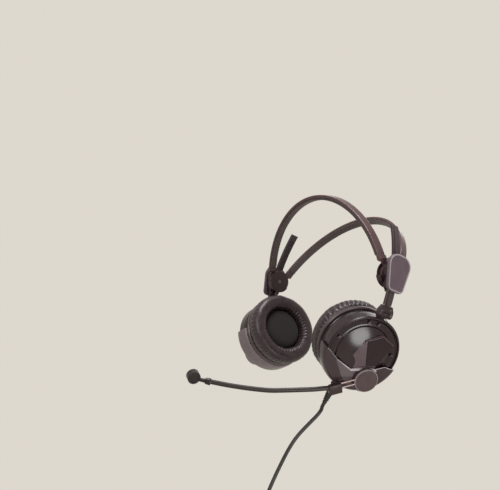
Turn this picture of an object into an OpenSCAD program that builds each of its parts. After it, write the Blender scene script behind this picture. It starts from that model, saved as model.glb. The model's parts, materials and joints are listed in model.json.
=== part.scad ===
// Split-headband aviation headset with round supra-aural cups and a boom microphone.
// Millimetres. +X is the wearer's left, -Y the wearer's front, +Z up. The arms hang
// upright and the two bands lean apart around them. The origin is where the head
// carries the headset: the middle of the soft strip under the front band.

/* [Headband] */
// Radius of both band arches, to the middle of the strip
band_radius = 86.8; // [82:0.2:92]
// How far the arches' centre lies below the hinge axis
band_drop = 8; // [5:0.5:11]
// Width of each band
band_width = 8; // [6.5:0.5:9]
// Thickness of each moulded band
band_thickness = 3; // [2.4:0.2:3.4]
// Thickness of the soft strip under each band
strip_thickness = 1.8; // [1:0.2:2.6]
// Distance from the hinge axis to each band's own plane
band_offset = 6.5; // [5.5:0.25:7.5]
// Lean of the front band, forward of the arms, in degrees
front_lean = 23; // [14:1:30]
// Lean of the rear band, behind the arms, in degrees
rear_lean = 19; // [12:1:30]

/* [Hinge housings] */
// Radius of the round eye at each band's end
eye_radius = 9.8; // [8.5:0.1:10]
// Thickness of each eye
eye_thickness = 1.4; // [1.2:0.1:1.6]
// Radius of the pivot boss that the eyes turn on
boss_radius = 3.6; // [3:0.1:4.4]
// Radius of the round inner cover
drum_radius = 11.7; // [11:0.1:12.4]
// Thickness of the inner cover's disc
drum_thickness = 1.8; // [1.4:0.1:2.4]
// Height of the outer shield cap
cap_height = 32; // [30:0.5:35]
// Width of the outer shield cap
cap_width = 22.5; // [20:0.5:25]
// Thickness of the outer shield cap
cap_thickness = 3.1; // [2.4:0.1:4]
// Thickness of the housing block that holds the arm
block_thickness = 6.6; // [6.2:0.1:7.4]

/* [Arms] */
// Radius of the curved arm, to its middle
arm_radius = 130; // [122:1:140]
// Height of the arm's widest point below the hinge axis
arm_drop = 10; // [7:0.5:12]
// Width of the arm
arm_width = 8; // [7:0.25:8.5]
// Thickness of the arm
arm_thickness = 3; // [2.6:0.1:3.2]
// Angle that each arm spans about its own centre, in degrees
arm_span = 33; // [31:0.5:36]
// Angle between two detent notches, in degrees
notch_step = 1; // [0.9:0.01:1.2]
// Notches that the left arm is drawn out below its highest place
left_notches = 5; // [0:1:13]
// Notches that the right arm is drawn out below its highest place
right_notches = 1; // [0:1:13]

/* [Ear cups] */
// Outer radius of the ear cushion
pad_radius = 35; // [33:0.5:37]
// Radius of the hole in the ear cushion
pad_hole_radius = 22; // [20:0.5:24]
// Thickness of the ear cushion
pad_thickness = 16; // [13:0.5:18]
// Number of gathers around the cushion
pad_gathers = 30; // [20:1:36]
// Outer radius of the cup shell
shell_radius = 33; // [31.5:0.25:34]
// Wall of the cup shell
shell_wall = 2; // [1.6:0.1:2.6]
// Depth of the cup shell, along the cup's axis
shell_depth = 17.6; // [16:0.2:20]
// Radius of the domed middle of the back cover
dome_radius = 23.5; // [21:0.5:24.5]
// Height of the dome above the recessed ring
dome_height = 4; // [3:0.5:5]
// Radius of the lower cover that wraps the shell
skirt_radius = 35.4; // [34.8:0.2:36.4]
// Radius of the speaker unit
speaker_radius = 18; // [16:0.5:19]
// Tilt of the left cup from upright, in degrees
left_tilt = 26.8; // [5:0.1:35]
// Turn of the left cup about its arm, in degrees
left_turn = -9; // [-14:0.5:14]
// Tilt of the right cup from upright, in degrees
right_tilt = 18; // [5:0.1:35]
// Turn of the right cup about its arm, in degrees
right_turn = 5; // [-14:0.5:14]

/* [Cup hinge] */
// Distance from the cup's axis to the hinge pin
pin_height = 38; // [37.5:0.25:40]
// Distance from the cushion's widest circle to the hinge pin, along the cup's axis
pin_depth = 28.5; // [27:0.25:30]
// Radius of the hinge pin
pin_radius = 1.2; // [1:0.1:1.4]
// Radial clearance of the turning fits
running_gap = 0.05; // [0.03:0.01:0.08]
// Radius of the knuckle on the cup's rim
knuckle_radius = 2.5; // [2.3:0.1:2.7]
// Width of the knuckle between the bracket's cheeks
knuckle_width = 4.6; // [4:0.2:5]
// Width of the bracket at its foot
bracket_width = 11; // [10:0.5:12]

/* [Boom microphone] */
// Radius of the round boom pivot
pivot_radius = 10.5; // [9.5:0.25:11]
// Height of the boom pivot above its boss
pivot_height = 3.4; // [2.6:0.2:4]
// Radius of the boom tube
boom_radius = 2; // [1.7:0.1:2.3]
// Radius of the two steel rods
rod_radius = 0.9; // [0.7:0.1:1.1]
// Distance between the two rods
rod_spacing = 4.2; // [3.4:0.2:5]
// Radius of the microphone capsule
capsule_radius = 6; // [5:0.25:7]
// Length of the microphone capsule
capsule_length = 7; // [5.5:0.5:9]

/* [Cord] */
// Radius of the cord
cord_radius = 1.6; // [1.4:0.1:1.7]
// Radius of the two legs below the splitter
leg_radius = 1.2; // [1:0.1:1.4]
// Full loops in the hank
hank_loops = 5; // [3:1:6]
// Distance from one loop to the next
hank_pitch = 4; // [3.9:0.1:5]
// Radius of the turn at each end of the hank
hank_turn_radius = 22; // [18:1:26]
// Length of the hank's straight runs
hank_run = 50; // [40:2:60]

/* [Plugs] */
// Radius of the headphone plug's shank
phones_shank_radius = 3.175; // [3.1:0.005:3.2]
// Length of the headphone plug's shank
phones_shank_length = 31; // [28:0.5:33]
// Radius of the microphone plug's shank
mic_shank_radius = 2.615; // [2.55:0.005:2.65]
// Length of the microphone plug's shank
mic_shank_length = 26.5; // [24:0.5:29]
// Radius of the headphone plug's moulded body
phones_body_radius = 6.5; // [6:0.25:8]
// Radius of the microphone plug's moulded body
mic_body_radius = 5.5; // [5:0.25:7]
// Length of both moulded bodies
plug_body_length = 30; // [24:1:36]

/* [Hidden] */
$fn = 64;

slit = 0.3;                 // gap between faces of two pieces that move on each other
soft = 34;                  // facets of the outlines that are hulled

// ---- Where things stand, worked out from the sizes above ----

// The bands: outer and inner radius of the moulded strip, and of the soft strip under it
band_outer = band_radius + band_thickness / 2;
band_inner = band_radius - band_thickness / 2;
strip_inner = band_inner - strip_thickness;
foot_height = eye_radius + 2.6;     // height above the hinge axis at which a band's foot ends
foot_x = sqrt(pow(band_outer, 2) - pow(band_drop + foot_height, 2));

// The hinge layers, outward along X: drum cover, rear eye, front eye, housing block, cap
front_eye_x = foot_x - eye_thickness + 0.25;
rear_eye_x = front_eye_x - slit - eye_thickness;
drum_x = rear_eye_x - slit - drum_thickness;
block_x = front_eye_x + eye_thickness + slit;
cap_x = block_x + block_thickness;

// The arm's centre of curvature: the arm passes the hinge axis in the middle of its block
arm_mid_x = block_x + 2.25 + arm_thickness / 2;
arm_centre_z = -arm_drop;
arm_centre_x = arm_mid_x - sqrt(pow(arm_radius, 2) - pow(arm_drop, 2));
top_notch_angle = -5.9;            // the hinge pin's angle when the arm is pushed right up
left_pin_angle = top_notch_angle - left_notches * notch_step;
right_pin_angle = top_notch_angle - right_notches * notch_step;
arm_foot = 7;                       // length of the bracket above the hinge pin
foot_arc = (arm_foot + slit + 0.1) / arm_radius * 180 / PI;     // the arm's bar ends this far above the pin
first_notch = foot_arc + 2;         // the lowest notch, in degrees above the pin
nose_angle = top_notch_angle + first_notch + 2 * notch_step;    // where the detent's nose stands

function turn_y(p, a) = [p.x * cos(a) + p.z * sin(a), p.y, -p.x * sin(a) + p.z * cos(a)];
function turn_z(p, a) = [p.x * cos(a) - p.y * sin(a), p.x * sin(a) + p.y * cos(a), p.z];
function on_arm(a) = [arm_centre_x + arm_radius * cos(a), 0, arm_centre_z + arm_radius * sin(a)];

// A point of the left cup's own frame, in the hinge frame
function from_left_cup(p) = on_arm(left_pin_angle) + turn_y(turn_z(
    turn_y(p - [pin_depth, 0, pin_height], left_tilt + left_pin_angle), left_turn), -left_pin_angle);

// The head's contact, in the hinge frame
contact_z = strip_inner - band_drop;
contact = [0, -band_offset * cos(front_lean) - contact_z * sin(front_lean),
              -band_offset * sin(front_lean) + contact_z * cos(front_lean)];

// ---- Frames ----

// From the hinge frame (origin midway between the housings) to the part's frame
module seated() { translate(-contact) children(); }
module left_side() { seated() children(); }
module right_side() { seated() mirror([1, 0, 0]) children(); }
// The bracket's frame: origin on the hinge pin, Z along the arm
module at_pin(a, turn) { translate(on_arm(a)) rotate([0, -a, 0]) rotate([0, 0, turn]) children(); }
// The cup's frame: X outward along its axis, Z up, origin at the cushion's widest circle
module at_cup(a, turn, tilt) {
    at_pin(a, turn) rotate([0, tilt + a, 0]) translate([-pin_depth, 0, -pin_height]) children();
}
module left_cup() { left_side() at_cup(left_pin_angle, left_turn, left_tilt) children(); }
module right_cup() {
    right_side() at_cup(right_pin_angle, right_turn, right_tilt) mirror([0, 1, 0]) children();
}
// Turns what is drawn along Z to lie along X
module along_x() { rotate([0, 90, 0]) children(); }
// Draws an outline given in (Y, Z), and extrudes it along X
module plate_x(x, thickness) {
    translate([x, 0, 0]) rotate([90, 0, 90]) linear_extrude(thickness) children();
}

// ---- Shared shapes ----

// A bar's cross-section with rounded corners: radius across, width along Y
module bar_section(r0, r1, width, corner) {
    translate([r0 + corner, -width / 2]) square([r1 - r0 - 2 * corner, width]);
    translate([r0, -width / 2 + corner]) square([r1 - r0, width - 2 * corner]);
    for (r = [r0 + corner, r1 - corner], y = [-1, 1])
        translate([r, y * (width / 2 - corner)]) circle(corner, $fn = 20);
}

// An arch of that section, open below, between two angles from +X towards +Z
module arch(a0, a1) {
    rotate([90, 0, 0]) rotate([0, 0, a0]) rotate_extrude(angle = a1 - a0, $fn = 180) children();
}

// A tube swept through points: rings square to the path, joined by triangles. Its first and
// last rings are square to the two directions in ends.
function unit(v) = v / norm(v);
function ring(p, t, ref, r, sides) = let (a = unit(cross(t, ref)), b = cross(t, a))
    [for (k = [0:sides - 1]) p + r * (cos(360 * k / sides) * a + sin(360 * k / sides) * b)];
module tube(p, r, sides, ref, ends) {
    n = len(p);
    headings = concat([ends[0]], [for (i = [1:n - 2]) unit(p[i + 1] - p[i - 1])], [ends[1]]);
    rings = [for (i = [0:n - 1]) each ring(p[i], headings[i], ref, r, sides)];
    walls = [for (i = [0:n - 2], k = [0:sides - 1])
        let (a = i * sides + k, b = i * sides + (k + 1) % sides)
        each [[a, a + sides, b], [b, a + sides, b + sides]]];
    caps = [for (k = [1:sides - 2]) each
        [[0, k, k + 1], [(n - 1) * sides, (n - 1) * sides + k + 1, (n - 1) * sides + k]]];
    polyhedron(rings, concat(walls, caps), convexity = 6);
}

// A smooth path through hand-set points, with the given number of steps between them
function spline_at(a, b, c, d, t) = 0.5 * (2 * b + (c - a) * t + (2 * a - 5 * b + 4 * c - d) * t * t
    + (3 * b - a - 3 * c + d) * t * t * t);
function smooth(p, steps) = [for (i = [0:len(p) - 2], s = [0:steps - 1])
    spline_at(p[max(i - 1, 0)], p[i], p[i + 1], p[min(i + 2, len(p) - 1)], s / steps),
    p[len(p) - 1]];

// ---- Headband ----

// One band in its own plane. side is -1 for the front band, 1 for the rear band.
module band_form(side, eye_x) {
    foot_angle = asin((band_drop + foot_height) / band_radius);
    translate([0, side * band_offset, -band_drop]) arch(foot_angle, 180 - foot_angle)
        bar_section(band_inner, band_outer, band_width, 0.9);
    for (s = [0, 1]) mirror([s, 0, 0]) {
        difference() {
            union() {
                translate([eye_x, 0, 0]) along_x() cylinder(r = eye_radius, h = eye_thickness);
                // the neck, from the eye up to the foot of the band
                plate_x(eye_x, eye_thickness) polygon([
                    [side * (band_offset - band_width / 2), 0],
                    [side * (band_offset - band_width / 2), foot_height + 1.6],
                    [side * (band_offset + band_width / 2), foot_height + 1.6],
                    [side * eye_radius * cos(48), eye_radius * sin(48)]]);
            }
            translate([eye_x - 1, 0, 0]) along_x()
                cylinder(r = boss_radius + running_gap, h = eye_thickness + 2);
        }
        // the foot's gusset, which carries the strip's root on the neck
        translate([0, side * band_offset + band_width / 2, 0]) rotate([90, 0, 0])
            linear_extrude(band_width) polygon([
                [foot_x - band_thickness, foot_height + 0.4],
                [eye_x, foot_height - 0.9],
                [eye_x + eye_thickness, foot_height - 0.9],
                [eye_x + eye_thickness, foot_height + 1.6],
                [foot_x - 0.9, foot_height + 4.2],
                [foot_x - 0.9 - band_thickness, foot_height + 4.2]]);
    }
}
module band_strip(side) {
    start = asin((band_drop + foot_height + 5) / band_inner);
    translate([0, side * band_offset, -band_drop]) arch(start, 180 - start)
        bar_section(strip_inner, band_inner, band_width - 1.2, 0.7);
}
module leaning(a) { seated() rotate([a, 0, 0]) children(); }

module front_band() { color("#2e2827") leaning(front_lean) band_form(-1, front_eye_x); }
module front_band_strip() { color("#4a4341") leaning(front_lean) band_strip(-1); }
module rear_band() { color("#2e2827") leaning(-rear_lean) band_form(1, rear_eye_x); }
module rear_band_strip() { color("#4a4341") leaning(-rear_lean) band_strip(1); }

// ---- Hinge housings ----

// The shield outline in (Y, Z), shrunk all round by inset
module shield(inset) {
    top = cap_width / 2;
    foot = 4.5;
    hull() {
        translate([0, cap_height / 2 - top]) circle(top - inset, $fn = soft + 14);
        for (s = [-1, 1]) translate([s * 2, foot - cap_height / 2]) circle(foot - inset, $fn = soft);
    }
}
pilot_depth = 4.4;                  // depth of the pivot screw's pilot hole
// The block with the arm's curved channel, and the pivot boss that the eyes turn on
module housing_form() {
    channel = slit;
    difference() {
        union() {
            plate_x(block_x, block_thickness) intersection() {
                shield(1);
                translate([-cap_width, -cap_height]) square([2 * cap_width, 2 * cap_height - 2.6]);
            }
            translate([rear_eye_x, 0, 0]) along_x()
                cylinder(r = boss_radius, h = block_x + 1 - rear_eye_x);
        }
        translate([arm_centre_x, 0, arm_centre_z]) arch(-8, 14)
            bar_section(arm_radius - arm_thickness / 2 - channel,
                        arm_radius + arm_thickness / 2 + channel, arm_width + 2 * channel, 0.6);
        // the screw's pilot hole
        translate([rear_eye_x - 1, 0, 0]) along_x() cylinder(r = 1, h = pilot_depth + 1);
        // the pocket of the detent spring
        translate([block_x + 0.6, -2.6, -11]) cube([2.6, 5.2, 8]);
    }
}
module shield_cap_form() {
    hull() {
        plate_x(cap_x, cap_thickness - 1.7) shield(0);
        plate_x(cap_x + cap_thickness - 1.7, 1.1) shield(0.7);
        plate_x(cap_x + cap_thickness - 0.2, 0.2) shield(2.4);
    }
}
// The drum: a disc with a rolled rim, and a low wall round the lower part of the eyes
module drum_form() {
    wall = 0.9;
    difference() {
        union() {
            translate([drum_x, 0, 0]) along_x() rotate_extrude($fn = 72) polygon([
                [0, 0], [drum_radius - 1.4, 0], [drum_radius - 0.4, 0.35], [drum_radius, 1.1],
                [drum_radius, drum_thickness], [0, drum_thickness]]);
            intersection() {
                translate([drum_x, 0, 0]) along_x() difference() {
                    cylinder(r = drum_radius, h = block_x - drum_x);
                    translate([0, 0, -1]) cylinder(r = drum_radius - wall, h = block_x - drum_x + 2);
                }
                plate_x(drum_x, block_x - drum_x) polygon([[0, 0],
                    [2 * drum_radius, -0.75 * drum_radius], [2 * drum_radius, -2 * drum_radius],
                    [-2 * drum_radius, -2 * drum_radius], [-2 * drum_radius, -0.75 * drum_radius]]);
            }
            // the stop peg under the drum
            translate([drum_x + 3, 0.6, -drum_radius - 3.2]) cylinder(r = 1.3, h = 3.6, $fn = 24);
        }
        translate([drum_x - 1, 0, 0]) along_x() cylinder(r = 1.25, h = drum_thickness + 2, $fn = 32);
        translate([drum_x - 1, 0, 0]) along_x() cylinder(r = 2.2, h = 1.8, $fn = 32);
    }
}
module pivot_screw_form() {
    difference() {
        union() {
            translate([drum_x + 0.2, 0, 0]) along_x() cylinder(r = 2, h = 0.6, $fn = 32);
            translate([drum_x + 0.8, 0, 0]) along_x()
                cylinder(r = 0.95, h = rear_eye_x + pilot_depth - 0.4 - drum_x - 0.8, $fn = 24);
        }
        translate([drum_x + 0.1, -1.6, -0.25]) cube([0.5, 3.2, 0.5]);
        translate([drum_x + 0.1, -0.25, -1.6]) cube([0.5, 0.5, 3.2]);
    }
}
// A leaf spring with a round nose that clicks along the arm's notches
module detent_form() {
    nose = on_arm(nose_angle) - [arm_thickness / 2 + slit + 0.1, 0, 0];
    translate([block_x + 0.6, -2.2, -10.8]) cube([0.4, 4.4, 7.6]);
    translate([block_x + 0.6, -2.2, -10.8]) cube([1.1, 4.4, 0.4]);
    translate([block_x + 0.6, -2.2, -3.6]) cube([1.1, 4.4, 0.4]);
    translate([nose.x - 0.75, 2.2, nose.z]) rotate([90, 0, 0]) cylinder(r = 0.85, h = 4.4, $fn = 24);
    translate([block_x + 0.6, -2.2, nose.z - 0.4]) cube([nose.x - block_x - 1.3, 4.4, 0.8]);
}

module left_housing() { color("#332c2c") left_side() housing_form(); }
module right_housing() { color("#332c2c") right_side() housing_form(); }
module left_shield_cap() { color("#8b8383") left_side() shield_cap_form(); }
module right_shield_cap() { color("#8b8383") right_side() shield_cap_form(); }
module left_drum_cover() { color("#3a3232") left_side() drum_form(); }
module right_drum_cover() { color("#3a3232") right_side() drum_form(); }
module left_pivot_screw() { color("silver") left_side() pivot_screw_form(); }
module right_pivot_screw() { color("silver") right_side() pivot_screw_form(); }
module left_detent_spring() { color("silver") left_side() detent_form(); }
module right_detent_spring() { color("silver") right_side() detent_form(); }

// ---- Arms and brackets ----

stud_radius = 1.3;                          // the arm's stud, which the bracket turns on
stud_head = 0.9;                            // thickness of its retaining head
head_z = knuckle_radius + 2 * slit;         // the head's underside, clear of the knuckle
module arm_form(pin_angle) {
    r0 = arm_radius - arm_thickness / 2;
    r1 = arm_radius + arm_thickness / 2;
    first = pin_angle + foot_arc;
    last = pin_angle + arm_span + 2.8;
    translate([arm_centre_x, 0, arm_centre_z]) difference() {
        union() {
            arch(first, last) bar_section(r0, r1 - 0.4, arm_width, 0.6);
            // the raised land along the outer face
            arch(first, last - 1) translate([r1 - 0.8, -arm_width * 0.3]) square([0.8, arm_width * 0.6]);
        }
        // detent notches along the inner face
        for (a = [pin_angle + first_notch:notch_step:last - 3]) rotate([0, -a, 0]) translate([r0 - 0.1, 0, 0])
            rotate([90, 0, 0]) cylinder(r = 0.7, h = 4.8, center = true, $fn = 20);
    }
    // the stud that the bracket turns on, with its retaining head
    translate(on_arm(pin_angle)) rotate([0, -pin_angle, 0]) {
        translate([0, 0, head_z]) cylinder(r = stud_radius, h = arm_foot + 0.8 - head_z, $fn = 32);
        translate([0, 0, head_z]) cylinder(r = stud_radius + 0.7, h = stud_head, $fn = 32);
    }
}
module bracket_form() {
    half = bracket_width / 2;
    cheek = knuckle_width / 2 + slit;
    difference() {
        union() {
            translate([-2.9, 0, 0]) plate_x(0, 5.8) polygon([
                [-half, -1.4], [-half, 3.4], [-half + 1.4, arm_foot], [half - 1.4, arm_foot],
                [half, 3.4], [half, -1.4]]);
            translate([0, half, 0]) rotate([90, 0, 0]) cylinder(r = 2.9, h = 2 * half, $fn = 48);
        }
        // the slot for the knuckle
        translate([-4, -cheek, -4]) cube([8, 2 * cheek, 4 + knuckle_radius + slit]);
        // the hinge pin's bore through both cheeks
        translate([0, half + 1, 0]) rotate([90, 0, 0])
            cylinder(r = pin_radius + 0.01, h = 2 * half + 2, $fn = 48);
        // the stud's bore and the pocket for its head
        translate([0, 0, 1]) cylinder(r = stud_radius + 1, h = head_z + stud_head + 0.05 - 1, $fn = 32);
        translate([0, 0, 2]) cylinder(r = stud_radius + running_gap, h = arm_foot, $fn = 32);
    }
}
module hinge_pin_form() {
    translate([0, bracket_width / 2 - 0.2, 0]) rotate([90, 0, 0])
        cylinder(r = pin_radius, h = bracket_width - 0.4, $fn = 48);
}

module left_arm() { color("#4b4442") left_side() arm_form(left_pin_angle); }
module right_arm() { color("#4b4442") right_side() arm_form(right_pin_angle); }
module left_bracket() { color("#332c2c") left_side() at_pin(left_pin_angle, left_turn) bracket_form(); }
module right_bracket() {
    color("#332c2c") right_side() at_pin(right_pin_angle, right_turn) bracket_form();
}
module left_hinge_pin() { color("silver") left_side() at_pin(left_pin_angle, left_turn) hinge_pin_form(); }
module right_hinge_pin() {
    color("silver") right_side() at_pin(right_pin_angle, right_turn) hinge_pin_form();
}

// ---- Ear cups, in the cup's frame ----

pad_back = 7;                               // back face of the cushion
baffle_back = pad_back + 4.2;               // back face of the speaker baffle, the shell's front
shell_back = baffle_back + shell_depth;     // the shell's back edge
cover_x = shell_back - 3.4;                 // front face of the back cover
ring_x = cover_x + 1.6;                     // floor of the recessed ring

// The cushion's cross-section: a full crown towards the head, drawn in at the back seam
pad_mid = (pad_radius + pad_hole_radius) / 2;
pad_half = (pad_radius - pad_hole_radius) / 2;
pad_centre = pad_back - pad_thickness * 0.47;
function pad_edge(t) = let (c = cos(t), s = sin(t), e = 0.8)
    [pad_mid + pad_half * sign(c) * pow(abs(c), e) * (s > 0.4 ? 1 - 0.16 * (s - 0.4) : 1),
     s > 0 ? min(pad_thickness * 0.53 * pow(s, e), pad_back - pad_centre)
           : -pad_thickness * 0.53 * pow(-s, e)];
module ear_cushion_form() {
    around = 3 * pad_gathers;
    across = 12;
    points = [for (i = [0:around - 1], j = [0:across - 1])
        let (t = 360 * (j + 0.5) / across, q = pad_edge(t), phi = 360 * i / around,
             gather = 0.5 * pow(abs(cos(t)), 2) * cos(pad_gathers * phi),
             r = q[0] + gather * sign(cos(t)))
        [min(pad_centre + q[1], pad_back), r * sin(phi), r * cos(phi)]];
    faces = [for (i = [0:around - 1], j = [0:across - 1])
        let (a = i * across + j, b = i * across + (j + 1) % across,
             c = ((i + 1) % around) * across + j, d = ((i + 1) % around) * across + (j + 1) % across)
        each [[a, c, b], [b, c, d]]];
    polyhedron(points, faces, convexity = 4);
}
module foam_disc_form() {
    translate([pad_back - 1.8, 0, 0]) along_x() rotate_extrude() polygon([
        [0, 0], [pad_hole_radius - 1.6, 0], [pad_hole_radius - 0.6, 0.8],
        [pad_hole_radius - 0.6, 1.8 + 2.2 - 0.2], [0, 1.8 + 2.2 - 0.2]]);
}
// The baffle: the rim that the cushion is buttoned on, and the plate that holds the speaker
module baffle_form() {
    rim = shell_radius + 1.2;
    plate = baffle_back - 2;
    difference() {
        translate([0, 0, 0]) along_x() rotate_extrude($fn = 96) polygon([
            [0, plate], [speaker_radius + 7, plate], [speaker_radius + 7, pad_back + 0.2],
            [rim - 0.8, pad_back + 0.2], [rim, pad_back + 1], [rim, baffle_back - 1.2],
            [rim - 0.8, baffle_back], [0, baffle_back]]);
        // sound holes in front of the speaker
        for (n = [1:2], k = [0:6 * n - 1]) rotate([60 * k / n, 0, 0]) translate([plate - 1, 0, 4.6 * n])
            along_x() cylinder(r = 1.4, h = 4, $fn = 20);
        // the noise microphone's seat
        translate([plate - 1, 0, -(speaker_radius + 3.6)]) along_x() cylinder(r = 3.1, h = 4, $fn = 32);
    }
}
module speaker_form() {
    r = speaker_radius;
    translate([baffle_back, 0, 0]) along_x() rotate_extrude() polygon([
        [0, 0.6], [r - 3, 0.6], [r - 2, 0], [r, 0], [r, 1.6], [r - 3, 2.6], [r * 0.6, 3.2],
        [r * 0.6, 5.6], [r * 0.52, 6.4], [0, 6.4]]);
}
module noise_mic_form() {
    translate([baffle_back - 1.8, 0, -(speaker_radius + 3.6)]) along_x() cylinder(r = 3, h = 3.4, $fn = 32);
}
board_x = baffle_back + 8.2;
module circuit_board_form() {
    translate([board_x, -17, -14]) cube([1.2, 34, 28]);
    translate([board_x - 1.1, -6, -4]) cube([1.1, 8, 8]);
    translate([board_x - 0.9, 5, 2]) cube([0.9, 7, 5]);
    translate([board_x - 0.9, -13, -9]) cube([0.9, 4, 6]);
    for (y = [-2, 4, 10]) translate([board_x - 1, y, -10]) rotate([0, 90, 0]) cylinder(r = 1.6, h = 1, $fn = 20);
}
// The shell: a round wall with a bright bead, an inner lip at the front and the hinge knuckle
module cup_shell_form() {
    r = shell_radius;
    inner = r - shell_wall;
    difference() {
        union() {
            along_x() rotate_extrude($fn = 96) polygon([
                [speaker_radius + 7, baffle_back], [r - 1.4, baffle_back], [r - 1.4, baffle_back + 1.6],
                [r - 0.2, baffle_back + 2.4], [r + 0.3, baffle_back + 3.2], [r - 0.4, baffle_back + 4],
                [r - 0.4, baffle_back + 4.6], [r, baffle_back + 8], [r, shell_back - 1.4],
                [r - 0.5, shell_back - 0.4], [r - 1.4, shell_back], [inner, shell_back],
                [inner, cover_x], [inner - 2, cover_x], [inner - 2, cover_x - 1.2],
                [inner, cover_x - 3], [inner, baffle_back + 2], [speaker_radius + 7, baffle_back + 2]]);
            // the knuckle on the rim
            translate([pin_depth, knuckle_width / 2, pin_height]) rotate([90, 0, 0])
                cylinder(r = knuckle_radius, h = knuckle_width, $fn = 48);
            translate([0, knuckle_width / 2, 0]) rotate([90, 0, 0]) linear_extrude(knuckle_width) polygon([
                [pin_depth - 8, r - 1], [pin_depth - knuckle_radius * 0.9, pin_height + knuckle_radius * 0.35],
                [pin_depth + knuckle_radius * 0.78, pin_height - knuckle_radius * 0.6],
                [shell_back - 1, r - 1]]);
        }
        translate([pin_depth, knuckle_width, pin_height]) rotate([90, 0, 0])
            cylinder(r = pin_radius + running_gap, h = 2 * knuckle_width, $fn = 48);
        // the cable's way in, on the left cup, and its blind twin on the right
        translate([gland_at[0], gland_at[1], -r - 4]) cylinder(r = 2.2, h = 8, $fn = 32);
    }
}
// The back cover: recessed ring, dome, raised wedge and the posts of the circuit board
gland_at = [20, -6];
pivot_at = [11, -20];                       // (Y, Z) of the boom pivot
plate_top = [[-4.5, 12], [8, 20.5], [19.5, 16.4], [13.5, -6.5], [4.5, -8.5]];
wedge_foot = [[-9.5, -3.2], [-2.6, 12.6], [10.4, 20.6], [20.2, 15.6], [16.4, -9], [-3, -14.6]];
wedge_top_x = ring_x + dome_height + 2.2;
module back_cover_form() {
    r = shell_radius - shell_wall - 0.2;
    dome_curve = (pow(dome_radius, 2) + pow(dome_height, 2)) / (2 * dome_height);
    difference() {
        union() {
            translate([cover_x, 0, 0]) along_x() cylinder(r = r, h = ring_x - cover_x, $fn = 96);
            translate([ring_x, 0, 0]) along_x() rotate_extrude($fn = 96) polygon(concat([[0, -0.4]],
                [[dome_radius, -0.4]], [for (i = [0:10]) let (x = dome_radius * (1 - i / 10))
                [x, sqrt(pow(dome_curve, 2) - x * x) - dome_curve + dome_height]]));
            hull() {
                plate_x(ring_x, 1) polygon(wedge_foot);
                plate_x(wedge_top_x - 1, 0.5) polygon(plate_top);
            }
            for (y = [-14, 14], z = [-11, 11]) translate([board_x + 1.2, y, z]) along_x()
                cylinder(r = 1.8, h = cover_x + 0.4 - board_x - 1.2, $fn = 24);
        }
        // the hollow behind the recessed ring
        translate([cover_x - 1, 0, 0]) along_x() cylinder(r = 8, h = 2.2, $fn = 48);
        // the cut that leaves room for the lower cover's back plate
        plate_x(ring_x, 20) polygon([[-50, -60], [-50, -1.6], [-31, -5.6], [-20, -11.4], [-4.6, -15.8],
            [7, -10.4], [17, -8.8], [24, -4.4], [50, -4.4], [50, -60]]);
        for (p = screw_places) translate([ring_x - 1, p.x, p.y]) along_x() cylinder(r = 0.9, h = 3, $fn = 20);
    }
}
screw_places = [[-7.5, 26], [1.3, 27], [-26.5, 6], [26.5, 6]];
module cover_panel_form() {
    plate_x(wedge_top_x - 0.5, 0.8) polygon(plate_top * 0.96 + [for (p = plate_top) [0.3, 0.2]]);
}
module cover_screws_form() {
    for (p = screw_places) translate([ring_x, p.x, p.y]) along_x() {
        difference() {
            cylinder(r = 1.3, h = 0.7, $fn = 24);
            translate([-1.5, -0.2, 0.4]) cube([3, 0.4, 0.5]);
        }
        translate([0, 0, -0.9]) cylinder(r = 0.8, h = 1, $fn = 20);
    }
}
// The lower cover: a skirt round the shell's lower half, a back plate and the pivot's boss
skirt_line = [[-50, -60], [-50, -2], [-31, -6], [-20, -11.8], [-4.5, -16.2], [7, -10.8], [17, -9.2],
              [24, -4.8], [50, -4.8], [50, -60]];
boss_x = ring_x + 4.6;
module lower_cover_form() {
    r = skirt_radius;
    s = shell_radius + 0.15;
    difference() {
        union() {
            intersection() {
                along_x() rotate_extrude($fn = 96) polygon([
                    [s, baffle_back + 4.8], [r - 0.8, baffle_back + 5.2], [r, baffle_back + 8],
                    [r, shell_back - 3.4], [r - 0.5, shell_back - 0.6], [r - 2, shell_back + 1],
                    [0, shell_back + 1.9], [0, ring_x], [shell_radius - shell_wall - 0.2, ring_x],
                    [shell_radius - shell_wall - 0.2, shell_back + 0.15], [s, shell_back + 0.15]]);
                plate_x(0, 60) polygon(skirt_line);
            }
            translate([shell_back - 7, pivot_at.x, pivot_at.y]) along_x()
                cylinder(r = pivot_radius + 1.6, h = boss_x - shell_back + 7, $fn = 72);
        }
        // room for the shell, the back cover and the gland
        translate([0, 0, 0]) along_x() cylinder(r = s, h = shell_back + 0.15, $fn = 96);
        translate([0, 0, 0]) along_x() cylinder(r = shell_radius - shell_wall - 0.2, h = ring_x, $fn = 96);
        plate_x(ring_x - 1, 3 + dome_height) polygon([[-40, 60], for (p = skirt_line) if (p.y > -50) p, [40, 60]]);
        translate([gland_at[0], gland_at[1], -r - 4]) cylinder(r = 3.4, h = 10, $fn = 32);
        // the pivot's bore
        translate([ring_x + 1, pivot_at.x, pivot_at.y]) along_x()
            cylinder(r = 2.5 + running_gap, h = 20, $fn = 48);
    }
}
module left_cup_shell() { color("#2f2928") left_cup() cup_shell_form(); }
module right_cup_shell() { color("#2f2928") right_cup() cup_shell_form(); }
module left_ear_cushion() { color("#3b3331") left_cup() ear_cushion_form(); }
module right_ear_cushion() { color("#3b3331") right_cup() ear_cushion_form(); }
module left_foam_disc() { color("#241f1f") left_cup() foam_disc_form(); }
module right_foam_disc() { color("#241f1f") right_cup() foam_disc_form(); }
module left_speaker_baffle() { color("#6d625f") left_cup() baffle_form(); }
module right_speaker_baffle() { color("#6d625f") right_cup() baffle_form(); }
module left_speaker() { color("#55504e") left_cup() speaker_form(); }
module right_speaker() { color("#55504e") right_cup() speaker_form(); }
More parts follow.
